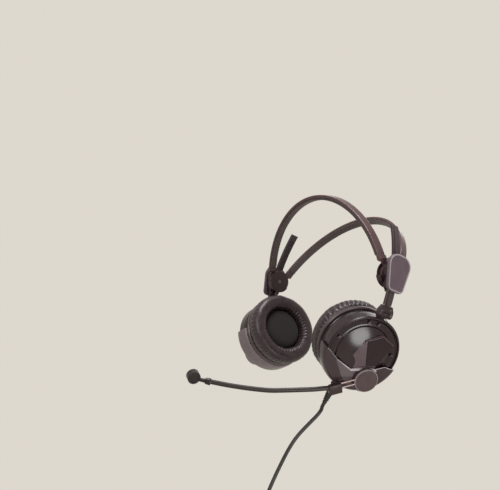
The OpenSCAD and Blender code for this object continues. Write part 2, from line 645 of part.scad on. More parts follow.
module left_noise_mic() { color("silver") left_cup() noise_mic_form(); }
module right_noise_mic() { color("silver") right_cup() noise_mic_form(); }
module left_circuit_board() { color("#2f5d3a") left_cup() circuit_board_form(); }
module right_circuit_board() { color("#2f5d3a") right_cup() circuit_board_form(); }
module left_back_cover() { color("#4a4240") left_cup() back_cover_form(); }
module right_back_cover() { color("#4a4240") right_cup() back_cover_form(); }
module left_cover_panel() { color("#1d1919") left_cup() cover_panel_form(); }
module right_cover_panel() { color("#1d1919") right_cup() cover_panel_form(); }
module left_cover_screws() { color("silver") left_cup() cover_screws_form(); }
module right_cover_screws() { color("silver") right_cup() cover_screws_form(); }
module left_lower_cover() { color("#6e6564") left_cup() lower_cover_form(); }
module right_lower_cover() { color("#6e6564") right_cup() lower_cover_form(); }
module right_blank_disc() { color("#7d7473") right_cup() pivot_disc_form(); }

// ---- Boom microphone, in the left cup's frame ----

pivot_x = boss_x + slit;
module pivot_disc_form() {
    r = pivot_radius;
    translate([pivot_x, pivot_at.x, pivot_at.y]) along_x() rotate_extrude($fn = 72) polygon([
        [0, -3.4], [2.5, -3.4], [2.5, 0], [r, 0], [r, 1.4], [r - 0.7, 2.2], [r - 0.7, pivot_height - 0.7],
        [r - 1.6, pivot_height], [r * 0.45, pivot_height + 0.2], [0, pivot_height + 0.3]]);
}
// The rods leave the disc's front edge and run down to the clamp
rod_x = pivot_x + pivot_height - 1.6;
rod_slope = 37;                             // degrees below straight ahead
clamp_at = [-12, -38];                      // (Y, Z) of the clamp's middle
module boom_pivot() {
    color("#80756f") left_cup() difference() {
        pivot_disc_form();
        rod_lines(rod_radius + 0.02, 0);
    }
}
rod_start = [pivot_at.x - 4.5, pivot_at.y - 4.5];
rod_run = 22;
module rod_lines(r, extra) {
    for (s = [-1, 1]) translate([rod_x, rod_start.x, rod_start.y]) rotate([rod_slope, 0, 0])
        translate([0, 0, s * rod_spacing / 2]) rotate([90, 0, 0])
        cylinder(r = r, h = rod_run + extra, $fn = 24);
}
module boom_rods() { color("silver") left_cup() rod_lines(rod_radius, 0); }
module boom_clamp() {
    length = 12;
    color("#3a3332") left_cup() difference() {
        translate([rod_x, rod_start.x, rod_start.y]) rotate([rod_slope, 0, 0])
            translate([0, -rod_run + 5, 0]) union() {
                translate([-3.2, -length, -4.4]) cube([6.4, length, 8.8]);
                translate([0, -length, 0]) rotate([90, 0, 0]) cylinder(r1 = 3.6, r2 = 2.9, h = 2.4, $fn = 48);
            }
        rod_lines(rod_radius + 0.02, 0.1);
    }
}
// The boom's route from the clamp to the neck, in the cup's frame
boom_start = let (l = rod_run - 5 + 12 + 2.4)
    [rod_x, rod_start.x - l * cos(rod_slope), rod_start.y - l * sin(rod_slope)];
boom_lead = [0, -cos(rod_slope), -sin(rod_slope)];
boom_route = [boom_start, boom_start + 5 * boom_lead, [33, -34, -46], [32, -48, -51.5], [31, -64, -57],
              [29, -80, -61], [27, -96, -64.5], [25, -111, -67]];
boom_path = smooth(boom_route, 4);
boom_end = boom_path[len(boom_path) - 1];
boom_end_lead = unit(boom_end - boom_path[len(boom_path) - 2]);
module boom_tube() {
    color("#4a433f") left_cup() tube(boom_path, boom_radius, 10, [1, 0, 0], [boom_lead, boom_end_lead]);
}

// A frame at a point with its Z along a heading
module facing(p, d) {
    translate(p) rotate([0, acos(d.z), atan2(d.y, d.x)]) children();
}
neck_length = 9.4;
module mic_neck() {
    color("#57504c") left_cup() facing(boom_end, boom_end_lead) rotate_extrude($fn = 40) polygon([
        [0, 0], [boom_radius + 0.7, 0], [boom_radius + 0.9, 1], [boom_radius + 0.5, 4], [1.7, 4.6],
        [1.5, neck_length], [0, neck_length]]);
}
capsule_at = boom_end + boom_end_lead * (neck_length + capsule_radius * 0.93);
// The capsule: a round button whose grille faces the mouth, inward from the boom
module mic_capsule() {
    r = capsule_radius;
    l = capsule_length;
    color("#2b2625") left_cup() translate(capsule_at) rotate([0, 0, 8]) difference() {
        translate([l / 2, 0, 0]) rotate([0, -90, 0]) rotate_extrude($fn = 64) polygon([
            [0, 0], [r - 1.6, 0], [r - 0.5, 0.6], [r, 1.8], [r, l - 2.2], [r - 0.4, l - 2.1],
            [r - 0.4, l - 1.7], [r, l - 1.6], [r, l - 0.8], [r - 0.8, l], [r - 1.4, l], [r - 1.4, l - 0.6],
            [0, l - 0.6]]);
        for (k = [-1:1]) translate([-l / 2 - 1, -3, 1.6 * k - 0.4]) cube([2.4, 6, 0.8]);
        rotate([0, 0, -8]) facing(-boom_end_lead * (capsule_radius * 0.93 + 1), boom_end_lead)
            cylinder(r = 1.52, h = 3, $fn = 32);
    }
}

// ---- Gland, strain relief and cord ----

gland_top = -shell_radius + 0.2;
gland_end = -45;
relief_end = -56;
module cable_gland() {
    color("#2b2625") left_cup() translate([gland_at[0], gland_at[1], 0]) rotate_extrude($fn = 48) polygon([
        [0, gland_top + 1.4], [2.1, gland_top + 1.4], [2.1, gland_top - 1.2], [3.1, gland_top - 1.2],
        [3.1, gland_top - 4.6], [2.4, gland_top - 6], [2.4, gland_top - 8.6], [3.3, gland_end + 2.2],
        [3.3, gland_end], [0, gland_end]]);
}
module strain_relief() {
    ribs = 4;
    rib_pitch = (gland_end - relief_end - 1.6) / ribs;
    color("#241f1f") left_cup() translate([gland_at[0], gland_at[1], 0]) rotate_extrude($fn = 48) polygon(concat(
        [[0, gland_end]], [for (k = [0:ribs - 1], q = [[3, 0], [3, 0.55], [2.4, 0.62], [2.4, 0.98]])
            [q.x - 0.2 * k, gland_end - (k + q.y) * rib_pitch]],
        [[2, relief_end + 1.4], [2, relief_end], [0, relief_end]]));
}
cord_start = from_left_cup([gland_at[0], gland_at[1], relief_end]);
cord_lead = unit(from_left_cup([gland_at[0], gland_at[1], relief_end - 1]) - cord_start);
// The free stretch, from the strain relief down to the hank, in the hinge frame
hank_top = [20, -26, -236];
cord_route = concat([cord_start, cord_start + 4 * cord_lead, cord_start + 12 * cord_lead],
    [[27, -14, -150], [22, -20, -176], [20, -25, -204], [20, -26, -228]], [hank_top]);
cord_path = smooth(cord_route, 4);
up = [0, 0, 1];
module cord() { color("#2a2524") seated() tube(cord_path, cord_radius, 8, [0, 1, 0], [cord_lead, -up]); }

// The hank: one tube wound in long loops, down the front run and up the rear run
turn_length = PI * hank_turn_radius;
loop_length = 2 * hank_run + 2 * turn_length;
wound = hank_loops * loop_length + hank_run + turn_length + 8;
hank_out = 4;                                // the last turn steps this much farther out
function hank_point(d) = let (n = floor(d / loop_length), q = d - n * loop_length,
    r = hank_turn_radius, over = max(0, d - hank_loops * loop_length - hank_run),
    x = -hank_pitch * max(0, d - cord_radius * 4) / loop_length
        - hank_out * min(1, over / turn_length),
    yz = q < hank_run ? [0, -q]
       : q < hank_run + turn_length ? let (a = (q - hank_run) / r * 180 / PI)
           [r - r * cos(a), -hank_run - r * sin(a)]
       : q < 2 * hank_run + turn_length ? [2 * r, -hank_run + (q - hank_run - turn_length)]
       : let (a = (q - 2 * hank_run - turn_length) / r * 180 / PI) [r + r * cos(a), r * sin(a)])
    hank_top + [x, yz.x, yz.y];
run_steps = 3;
turn_steps = 9;
function loop_stops() = concat([for (i = [0:run_steps - 1]) i * hank_run / run_steps],
    [for (i = [0:turn_steps - 1]) hank_run + i * turn_length / turn_steps],
    [for (i = [0:run_steps - 1]) hank_run + turn_length + i * hank_run / run_steps],
    [for (i = [0:turn_steps - 1]) 2 * hank_run + turn_length + i * turn_length / turn_steps]);
hank_stops = concat([0, cord_radius * 2], [for (n = [0:hank_loops], q = loop_stops())
    if (n * loop_length + q > cord_radius * 2 + 1 && n * loop_length + q < wound - 9) n * loop_length + q],
    [wound - 8, wound]);
hank_path = [for (d = hank_stops) hank_point(d)];
module cord_hank() { color("#2a2524") seated() tube(hank_path, cord_radius, 6, [1, 0, 0], [-up, up]); }
// Least clear gap between two turns of the hank, measured on points a sixtieth of a loop apart
gap_points = [for (d = [0:loop_length / 60:wound]) hank_point(d)];
gap_skip = 12;
hank_gap = min([for (i = [0:len(gap_points) - 1], j = [i + gap_skip:1:len(gap_points) - 1])
    norm(gap_points[i] - gap_points[j])]) - 2 * cord_radius;
echo(least_hank_gap = hank_gap);  // cord_hank

// The tie: a strap round the hank's rear run
tie_width = 12;
tie_thickness = 1.2;
tie_room = cord_radius + slit;
module oval(span, r) {
    square([span, 2 * r], center = true);
    for (s = [-1, 1]) translate([s * span / 2, 0]) circle(r, $fn = 32);
}
module hank_tie() {
    first = hank_point(hank_run * 1.5 + turn_length);
    span = (hank_loops - 1) * hank_pitch;
    color("#3a3534") seated() translate(first - [span / 2, 0, 0]) linear_extrude(tie_width, center = true)
        difference() {
            oval(span, tie_room + tie_thickness);
            oval(span, tie_room);
        }
}

// The splitter stands on the hank's end, and the legs arch out of it and down to the plugs
split_at = hank_point(wound);
split_length = 20;
leg_gap = 3.6;
leg_top = split_at + [0, 0, split_length];
module cord_splitter() {
    color("#241f1f") seated() translate(split_at) {
        translate([0, 0, 3]) rotate([0, 0, 90]) hull() {
            cube([8, 6, 0.01], center = true);
            translate([0, 0, split_length - 5]) cube([2 * leg_gap + 5, 7, 4], center = true);
        }
        cylinder(r = 2.6, h = 3.4, $fn = 32);
        for (s = [-1, 1]) translate([0, s * leg_gap, split_length - 4]) cylinder(r = 1.9, h = 4, $fn = 24);
    }
}
phones_top = leg_top + [-2, 30, -8];
mic_top = leg_top + [-16, -2, -8];
phones_route = [leg_top + [0, leg_gap, 0], leg_top + [0, leg_gap, 3], leg_top + [0, leg_gap + 4, 14],
    leg_top + [-1, leg_gap + 13, 18], leg_top + [-2, 28, 12], phones_top + [0, 0, 5], phones_top];
mic_route = [leg_top + [0, -leg_gap, 0], leg_top + [0, -leg_gap, 3], leg_top + [-2, -leg_gap, 12],
    leg_top + [-8, -3, 17], leg_top + [-14, -2.2, 11], mic_top + [0, 0, 5], mic_top];
module phones_leg() {
    color("#2a2524") seated() tube(smooth(phones_route, 4), leg_radius, 8, [1, 0, 0], [up, -up]);
}
module mic_leg() {
    color("#2a2524") seated() tube(smooth(mic_route, 4), leg_radius, 8, [0, 1, 0], [up, -up]);
}

// A telephone plug pointing down: sleeve, insulating rings and a waisted tip, in a moulded grip
module plug_form(shank_r, shank_l, body_r) {
    l = plug_body_length;
    translate([0, 0, -l]) rotate_extrude($fn = 48) polygon([
        [0, 0], [body_r, 0], [body_r, l - 12], [body_r - 1.2, l - 9], [2.6, l - 4], [2.2, l], [0, l]]);
    translate([0, 0, -l - shank_l]) rotate_extrude($fn = 48) polygon([
        [0, 0], [shank_r * 0.3, 0], [shank_r * 0.95, 2.2], [shank_r * 0.62, 5], [shank_r, 6.2],
        [shank_r, shank_l - 19.4], [shank_r * 0.9, shank_l - 19.3], [shank_r * 0.9, shank_l - 18.3],
        [shank_r, shank_l - 18.2], [shank_r, shank_l], [0, shank_l]]);
}
module phones_plug() {
    color("#3a3534") seated() translate(phones_top)
        plug_form(phones_shank_radius, phones_shank_length, phones_body_radius);
}
module mic_plug() {
    color("#3a3534") seated() translate(mic_top)
        plug_form(mic_shank_radius, mic_shank_length, mic_body_radius);
}

front_band();
front_band_strip();
rear_band();
rear_band_strip();
left_housing();
left_shield_cap();
left_drum_cover();
left_pivot_screw();
left_detent_spring();
left_arm();
left_bracket();
left_hinge_pin();
left_cup_shell();
left_ear_cushion();
left_foam_disc();
left_speaker_baffle();
left_speaker();
left_noise_mic();
left_circuit_board();
left_back_cover();
left_cover_panel();
left_cover_screws();
left_lower_cover();
right_housing();
right_shield_cap();
right_drum_cover();
right_pivot_screw();
right_detent_spring();
right_arm();
right_bracket();
right_hinge_pin();
right_cup_shell();
right_ear_cushion();
right_foam_disc();
right_speaker_baffle();
right_speaker();
right_noise_mic();
right_circuit_board();
right_back_cover();
right_cover_panel();
right_cover_screws();
right_lower_cover();
right_blank_disc();
boom_pivot();
boom_rods();
boom_clamp();
boom_tube();
mic_neck();
mic_capsule();
cable_gland();
strain_relief();
cord();
cord_hank();
hank_tie();
cord_splitter();
phones_leg();
mic_leg();
phones_plug();
mic_plug();
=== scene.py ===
import json
import math

import bmesh
import bpy
from mathutils import Matrix, Vector, noise


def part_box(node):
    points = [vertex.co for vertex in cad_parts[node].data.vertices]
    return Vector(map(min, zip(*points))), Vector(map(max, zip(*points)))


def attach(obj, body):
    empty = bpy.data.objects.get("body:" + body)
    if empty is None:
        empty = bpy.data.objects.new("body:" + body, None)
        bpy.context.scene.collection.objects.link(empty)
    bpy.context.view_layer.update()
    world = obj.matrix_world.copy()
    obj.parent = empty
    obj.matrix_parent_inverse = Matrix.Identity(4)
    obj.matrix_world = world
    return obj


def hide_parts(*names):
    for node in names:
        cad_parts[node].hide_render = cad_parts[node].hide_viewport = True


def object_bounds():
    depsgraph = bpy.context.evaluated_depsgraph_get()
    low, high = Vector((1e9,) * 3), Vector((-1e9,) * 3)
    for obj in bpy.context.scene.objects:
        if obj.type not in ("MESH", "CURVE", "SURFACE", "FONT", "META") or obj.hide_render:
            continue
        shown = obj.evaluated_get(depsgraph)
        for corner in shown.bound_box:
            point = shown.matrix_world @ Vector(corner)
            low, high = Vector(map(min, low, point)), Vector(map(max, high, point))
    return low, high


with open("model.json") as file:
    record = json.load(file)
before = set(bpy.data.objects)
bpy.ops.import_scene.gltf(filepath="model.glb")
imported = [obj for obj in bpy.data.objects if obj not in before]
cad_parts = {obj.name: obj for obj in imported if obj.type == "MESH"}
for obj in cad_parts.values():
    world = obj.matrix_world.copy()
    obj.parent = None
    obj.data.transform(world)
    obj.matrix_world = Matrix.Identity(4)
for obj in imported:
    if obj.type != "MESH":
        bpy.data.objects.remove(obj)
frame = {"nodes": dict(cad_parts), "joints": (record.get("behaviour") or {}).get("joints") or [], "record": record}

cad_box = [list(corner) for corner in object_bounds()]
record = frame["record"]
joints = {joint["name"]: joint for joint in frame["joints"]}
mm = 0.001

# ---- Camera, light and floor ----
# The headset is seen from the wearer's front left, from a little below the cups, in soft
# light from above with a weaker lamp behind it. The pale floor fades out around it.
camera = bpy.data.objects.new("camera", bpy.data.cameras.new("camera"))
bpy.context.collection.objects.link(camera)
bpy.context.scene.camera = camera
camera.data.sensor_width = 36
camera.data.lens = 43.26
camera_place = Vector((0.45874, -0.30257, -0.20029))
camera_right = Vector((0.5154, 0.8192, 0.2517))
camera_up = Vector((0.0891, -0.3433, 0.935))


def set_at(place, x, y, z):
    """The frame that stands at a place with its axes along x, y and z."""
    return Matrix.Translation(place) @ Matrix((x, y, z)).transposed().to_4x4()


camera.matrix_world = set_at(camera_place, camera_right, camera_up, camera_right.cross(camera_up))
bpy.context.scene.view_settings.view_transform = "Standard"

paper = (0.73, 0.69, 0.62, 1)
room_grey = (0.3, 0.29, 0.28, 1)
world = bpy.data.worlds.new("studio")
bpy.context.scene.world = world
world.use_nodes = True
nodes, links = world.node_tree.nodes, world.node_tree.links
nodes.clear()
path = nodes.new("ShaderNodeLightPath")
seen = nodes.new("ShaderNodeMath")
seen.operation = "MAXIMUM"
mirrored = nodes.new("ShaderNodeMath")
mirrored.operation = "MAXIMUM"
links.new(path.outputs["Is Glossy Ray"], mirrored.inputs[0])
links.new(path.outputs["Is Transmission Ray"], mirrored.inputs[1])
links.new(path.outputs["Is Camera Ray"], seen.inputs[0])
links.new(mirrored.outputs[0], seen.inputs[1])
room = nodes.new("ShaderNodeBackground")
room.inputs["Color"].default_value = room_grey
backdrop = nodes.new("ShaderNodeBackground")
backdrop.inputs["Color"].default_value = paper
choose = nodes.new("ShaderNodeMixShader")
links.new(seen.outputs[0], choose.inputs[0])
links.new(room.outputs[0], choose.inputs[1])
links.new(backdrop.outputs[0], choose.inputs[2])
links.new(choose.outputs[0], nodes.new("ShaderNodeOutputWorld").inputs["Surface"])

middle = Vector((0, 0.02, -0.11))
for name, place, size, power in (
    ("softbox_above", (0.1, -0.25, 0.75), 0.5, 9),
    ("softbox_side", (0.5, 0.05, -0.26), 0.25, 1.35),
    ("softbox_front", (0.35, -0.85, 0.1), 0.4, 3),
    ("lamp_behind", (-0.5, 0.6, 0.45), 0.5, 0.9),
):
    lamp = bpy.data.lights.new(name, "AREA")
    lamp.shape = "DISK"
    lamp.size = size
    lamp.energy = power
    holder = bpy.data.objects.new(name, lamp)
    bpy.context.collection.objects.link(holder)
    holder.location = place
    holder.rotation_euler = (middle - Vector(place)).to_track_quat("-Z", "Y").to_euler()

floor_drop, floor_radius, floor_sides = 0.004, 0.9, 96
fade_start, fade_end = 0.15, 0.45
floor_mesh = bpy.data.meshes.new("floor")
rim = [(floor_radius * math.cos(a), floor_radius * math.sin(a), cad_box[0][2] - floor_drop)
       for a in (math.tau * i / floor_sides for i in range(floor_sides))]
floor_mesh.from_pydata(rim, [], [range(floor_sides)])
floor = bpy.data.objects.new("floor", floor_mesh)
bpy.context.collection.objects.link(floor)
material = bpy.data.materials.new("floor_paper")
material.use_nodes = True
nodes, links = material.node_tree.nodes, material.node_tree.links
nodes.clear()
where = nodes.new("ShaderNodeTexCoord")
reach = nodes.new("ShaderNodeVectorMath")
reach.operation = "LENGTH"
flat = nodes.new("ShaderNodeVectorMath")
flat.operation = "MULTIPLY"
flat.inputs[1].default_value = (1, 1, 0)
links.new(where.outputs["Object"], flat.inputs[0])
links.new(flat.outputs[0], reach.inputs[0])
fade = nodes.new("ShaderNodeMapRange")
fade.interpolation_type = "SMOOTHSTEP"
fade.inputs["From Min"].default_value = fade_start
fade.inputs["From Max"].default_value = fade_end
links.new(reach.outputs["Value"], fade.inputs["Value"])
sheet = nodes.new("ShaderNodeBsdfDiffuse")
sheet.inputs["Color"].default_value = paper
clear = nodes.new("ShaderNodeBsdfTransparent")
choose = nodes.new("ShaderNodeMixShader")
links.new(fade.outputs["Result"], choose.inputs[0])
links.new(sheet.outputs[0], choose.inputs[1])
links.new(clear.outputs[0], choose.inputs[2])
links.new(choose.outputs[0], nodes.new("ShaderNodeOutputMaterial").inputs["Surface"])
floor_mesh.materials.append(material)

# ---- Cord ----
# A 3.2 mm rubber-jacketed cord hangs from the left cup's strain relief. The rest of its
# 1.45 m is wound in a hank with a strap, and ends in a splitter with two thin legs.
hinge = Vector(joints["rear_band_hinge"]["pos_m"])
mount_inside = 1.5


def cup_frame(side):
    """The frame of a cup: X outward along its axis, Y along the hinge pin, Z towards the arm.

    It starts mount_inside mm outside the mount where the wearer's ear sits.
    """
    ear = next(mount for mount in record["mounts"] if mount["name"] == side + "_ear")
    x = -Vector(ear["axis"]).normalized()
    y = Vector(joints[side + "_cup_tilt"]["axis"]).normalized()
    z = x.cross(y).normalized()
    y = z.cross(x)
    return set_at(Vector(ear["pos_m"]) + x * mount_inside * mm, x, y, z)


def smooth_route(points, steps=8):
    """A smooth path through given points, steps to each stretch."""
    line = []
    for i in range(len(points) - 1):
        a, b = points[max(i - 1, 0)], points[i]
        c, d = points[i + 1], points[min(i + 2, len(points) - 1)]
        for t in (s / steps for s in range(steps)):
            line.append(0.5 * (2 * b + (c - a) * t + (2 * a - 5 * b + 4 * c - d) * t * t
                               + (3 * b - a - 3 * c + d) * t ** 3))
    return line + [points[-1]]


def cable(name, line, radius):
    """A round cable as a curve through the points of line."""
    curve = bpy.data.curves.new(name, "CURVE")
    curve.dimensions = "3D"
    curve.bevel_depth = radius
    curve.bevel_resolution = 5
    curve.use_fill_caps = True
    spline = curve.splines.new("POLY")
    spline.points.add(len(line) - 1)
    for i, point in enumerate(line):
        spline.points[i].co = (*point, 1)
    spline.use_smooth = True
    piece = bpy.data.objects.new(name, curve)
    bpy.context.collection.objects.link(piece)
    return piece


def blank_finish(name):
    """A new material, with the sockets of its shader."""
    made = bpy.data.materials.new(name)
    made.use_nodes = True
    return made, made.node_tree.nodes["Principled BSDF"].inputs


def pattern(made, kind, **settings):
    """A texture over the object's own coordinates, with its sockets set."""
    nodes, links = made.node_tree.nodes, made.node_tree.links
    drawn = nodes.new(kind)
    links.new(nodes.new("ShaderNodeTexCoord").outputs["Object"], drawn.inputs["Vector"])
    for socket, value in settings.items():
        drawn.inputs[socket].default_value = value
    return drawn


def two_shades(made, source, colour, first, second, start=0.0, stop=1.0):
    """Colours the finish from one share of its colour at start to another at stop."""
    nodes, links = made.node_tree.nodes, made.node_tree.links
    tone = nodes.new("ShaderNodeValToRGB")
    near, far = tone.color_ramp.elements
    near.position, far.position = start, stop
    near.color = (*(c * first for c in colour), 1)
    far.color = (*(min(1, c * second) for c in colour), 1)
    links.new(source, tone.inputs["Fac"])
    links.new(tone.outputs["Color"], nodes["Principled BSDF"].inputs["Base Color"])
    return tone.outputs["Color"]


def uneven_gloss(made, source, least, most):
    """Varies the roughness from least to most."""
    nodes, links = made.node_tree.nodes, made.node_tree.links
    gloss = nodes.new("ShaderNodeMapRange")
    gloss.inputs["To Min"].default_value = least
    gloss.inputs["To Max"].default_value = most
    links.new(source, gloss.inputs["Value"])
    links.new(gloss.outputs["Result"], nodes["Principled BSDF"].inputs["Roughness"])


def embossed(made, source, strength, deep, under=None):
    """Raises the surface by up to deep mm, on top of the relief under it."""
    nodes, links = made.node_tree.nodes, made.node_tree.links
    bump = nodes.new("ShaderNodeBump")
    bump.inputs["Strength"].default_value = strength
    bump.inputs["Distance"].default_value = deep * mm
    links.new(source, bump.inputs["Height"])
    if under:
        links.new(under.outputs["Normal"], bump.inputs["Normal"])
    links.new(bump.outputs["Normal"], nodes["Principled BSDF"].inputs["Normal"])
    return bump


def moulded(name, colour, rough, grain=0.45, relief=0.25, wear=0.0, shine=0.35):
    """Moulded plastic or rubber: a fine grain, uneven gloss, and paler rubbed edges."""
    made, shader = blank_finish(name)
    nodes, links = made.node_tree.nodes, made.node_tree.links
    shader["Specular IOR Level"].default_value = shine
    patches = pattern(made, "ShaderNodeTexNoise", Scale=90, Detail=5).outputs["Fac"]
    tone = two_shades(made, patches, colour, 0.88, 1.12, 0.3, 0.7)
    if wear:
        edges = nodes.new("ShaderNodeNewGeometry")
        rubbed = nodes.new("ShaderNodeMapRange")
        rubbed.inputs["From Min"].default_value = 0.52
        rubbed.inputs["From Max"].default_value = 0.62
        rubbed.inputs["To Max"].default_value = wear
        links.new(edges.outputs["Pointiness"], rubbed.inputs["Value"])
        paler = nodes.new("ShaderNodeMix")
        paler.data_type = "RGBA"
        paler.inputs["B"].default_value = (*(min(1, c * 1.9 + 0.015) for c in colour), 1)
        links.new(rubbed.outputs["Result"], paler.inputs["Factor"])
        links.new(tone, paler.inputs["A"])
        links.new(paler.outputs["Result"], shader["Base Color"])
    uneven_gloss(made, patches, rough * 0.85, min(1, rough * 1.15))
    pits = pattern(made, "ShaderNodeTexNoise", Scale=1 / (grain * mm), Detail=2)
    embossed(made, pits.outputs["Fac"], relief, 0.05)
    return made


left_cup = cup_frame("left")
gland_at, relief_long = Vector((20, -6, -36)), 20
relief_end = left_cup @ ((gland_at - Vector((0, 0, relief_long))) * mm)
down_the_cup = -left_cup.to_3x3().col[2]
hank_top = Vector((20, -26, -236))
cord_radius = 1.6 * mm
cord_points = [relief_end, relief_end + 4 * mm * down_the_cup, relief_end + 12 * mm * down_the_cup]
cord_points += [hinge + Vector(p) * mm for p in
                ((27, -14, -150), (22, -20, -176), (20, -25, -204), (20, -26, -228), hank_top)]

# the hank: long loops with round turns, each one loop pitch farther along
loops, pitch, turn, run = 5, 4.0, 22.0, 50.0
straight_in, step_out, tail = 6.4, 4, 8
half_turn = math.pi * turn
loop = 2 * run + 2 * half_turn
wound = loops * loop + run + half_turn + tail
hank_steps = 420


def hank_point(d):
    """The hank's centreline, d mm along it, in the hinge's frame in mm."""
    q = d % loop
    over = max(0, d - loops * loop - run)
    x = -pitch * max(0, d - straight_in) / loop - step_out * min(1, over / half_turn)
    if q < run:
        y, z = 0, -q
    elif q < run + half_turn:
        a = (q - run) / turn
        y, z = turn - turn * math.cos(a), -run - turn * math.sin(a)
    elif q < 2 * run + half_turn:
        y, z = 2 * turn, -run + (q - run - half_turn)
    else:
        a = (q - 2 * run - half_turn) / turn
        y, z = turn + turn * math.cos(a), turn * math.sin(a)
    return hank_top + Vector((x, y, z))


cord_line = smooth_route(cord_points)[:-1]
cord_line += [hinge + hank_point(wound * i / hank_steps) * mm for i in range(hank_steps + 1)]
cord_jacket = moulded("cord_jacket", (0.016, 0.012, 0.011), 0.42, grain=0.3, relief=0.2)
cord = cable("cord_piece", cord_line, cord_radius)
cord.data.materials.append(cord_jacket)
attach(cord, "left_cup")
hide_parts("cord", "cord_hank")


# the legs leave the splitter upwards, arch over and run down into the plugs
splitter_long, leg_radius = 20, 1.2 * mm
leg_start = hank_point(wound) + Vector((0, 0, splitter_long))
leg_routes = {
    "phones_leg": ((0, 3.6, 0), (0, 3.6, 3), (0, 7.6, 14), (-1, 16.6, 18), (-2, 28, 12),
                   (-2, 30, -3), (-2, 30, -8)),
    "mic_leg": ((0, -3.6, 0), (0, -3.6, 3), (-2, -3.6, 12), (-8, -3, 17), (-14, -2.2, 11),
                (-16, -2, -3), (-16, -2, -8)),
}
cad = frame["nodes"]
for name, route in leg_routes.items():
    line = [hinge + p * mm for p in smooth_route([leg_start + Vector(p) for p in route])]
    leg = cable(name + "_piece", line, leg_radius)
    leg.data.materials.append(cord_jacket)
    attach(leg, "left_cup")
    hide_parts(name)
    plug = name.replace("leg", "plug")

# ---- Headband ----
# Two narrow bands of near-black nylon, each moulded in one piece with a round eye at both
# ends. A softer, paler elastomer strip is bonded under each, where it meets the head.


def dress(material, *names):
    """Gives CAD nodes their material."""
    for name in names:
        for slot in cad[name].material_slots:
            slot.material = material


dress(moulded("band_nylon", (0.07, 0.036, 0.039), 0.3, grain=0.35, relief=0.12, wear=0.2),
      "front_band", "rear_band")
dress(moulded("strip_elastomer", (0.07, 0.052, 0.05), 0.5, grain=0.5, relief=0.3),
      "front_band_strip", "rear_band_strip")

# ---- Hinge housings ----
# Each housing block is black nylon between the bands' eyes and a grey shield-shaped cap. The
# drum inside is held by one steel screw, and a leaf spring clicks along the arm.


def metal(name, colour, rough, brushed=0.0):
    """Steel: even colour, with fine turning marks where it is brushed."""
    made, shader = blank_finish(name)
    shader["Metallic"].default_value = 1
    smears = pattern(made, "ShaderNodeTexNoise", Scale=400, Detail=4).outputs["Fac"]
    two_shades(made, smears, colour, 0.88, 1.08)
    uneven_gloss(made, smears, rough * 0.7, rough * 1.3)
    if brushed:
        marks = pattern(made, "ShaderNodeTexNoise", Scale=5000)
        embossed(made, marks.outputs["Fac"], brushed, 0.02)
    return made


housing_nylon = moulded("housing_nylon", (0.02, 0.009, 0.011), 0.3,
                        grain=0.35, relief=0.12, wear=0.25)
drum_nylon = moulded("drum_nylon", (0.022, 0.01, 0.011), 0.36, grain=0.35, relief=0.15, wear=0.25)
cap_grey = moulded("cap_grey", (0.105, 0.073, 0.088), 0.46,
                   grain=0.3, relief=0.12, wear=0.3, shine=0.25)
bright_steel = metal("bright_steel", (0.4, 0.37, 0.36), 0.3, brushed=0.2)
screw_dull = metal("screw_dull", (0.14, 0.12, 0.12), 0.4, brushed=0.2)


def piece_from(name, sheet):
    """A smooth piece from a bmesh, its faces turned outward."""
    bmesh.ops.recalc_face_normals(sheet, faces=sheet.faces)
    mesh = bpy.data.meshes.new(name)
    sheet.to_mesh(mesh)
    sheet.free()
    mesh.shade_smooth()
    piece = bpy.data.objects.new(name, mesh)
    bpy.context.collection.objects.link(piece)
    return piece


def solid(name, sheet, place):
    """A piece from a bmesh drawn in mm in the frame of place; its clear edges stay sharp."""
    piece = piece_from(name, sheet)
    piece.data.transform(place @ Matrix.Scale(mm, 4))
    piece.data.set_sharp_from_angle(angle=math.radians(35))
    return piece


def hull_of(name, points, place):
    """The convex solid round some points."""
    sheet = bmesh.new()
    for point in points:
        sheet.verts.new(point)
    made = bmesh.ops.convex_hull(sheet, input=sheet.verts)
    loose = {v for v in made["geom_interior"] + made["geom_unused"]
             if isinstance(v, bmesh.types.BMVert)}
    bmesh.ops.delete(sheet, geom=list(loose), context="VERTS")
    bmesh.ops.dissolve_limit(sheet, angle_limit=math.radians(1),
                             verts=sheet.verts, edges=sheet.edges)
    return solid(name, sheet, place)


def finished(piece, modifier):
    """The piece with its last modifier made part of the mesh."""
    seen_piece = piece.evaluated_get(bpy.context.evaluated_depsgraph_get())
    seen_mesh = bpy.data.meshes.new_from_object(seen_piece)
    piece.modifiers.remove(modifier)
    piece.data = seen_mesh
    seen_mesh.name = piece.name
    return piece


def soften(piece, width):
    """Rounds a moulding's sharp edges by width mm."""
    rounding = piece.modifiers.new("rounding", "BEVEL")
    rounding.width = width * mm
    rounding.segments = 3
    rounding.limit_method = "ANGLE"
    rounding.angle_limit = math.radians(28)
    finished(piece, rounding)
    piece.data.shade_smooth()
    piece.data.set_sharp_from_angle(angle=math.radians(50))
    return piece
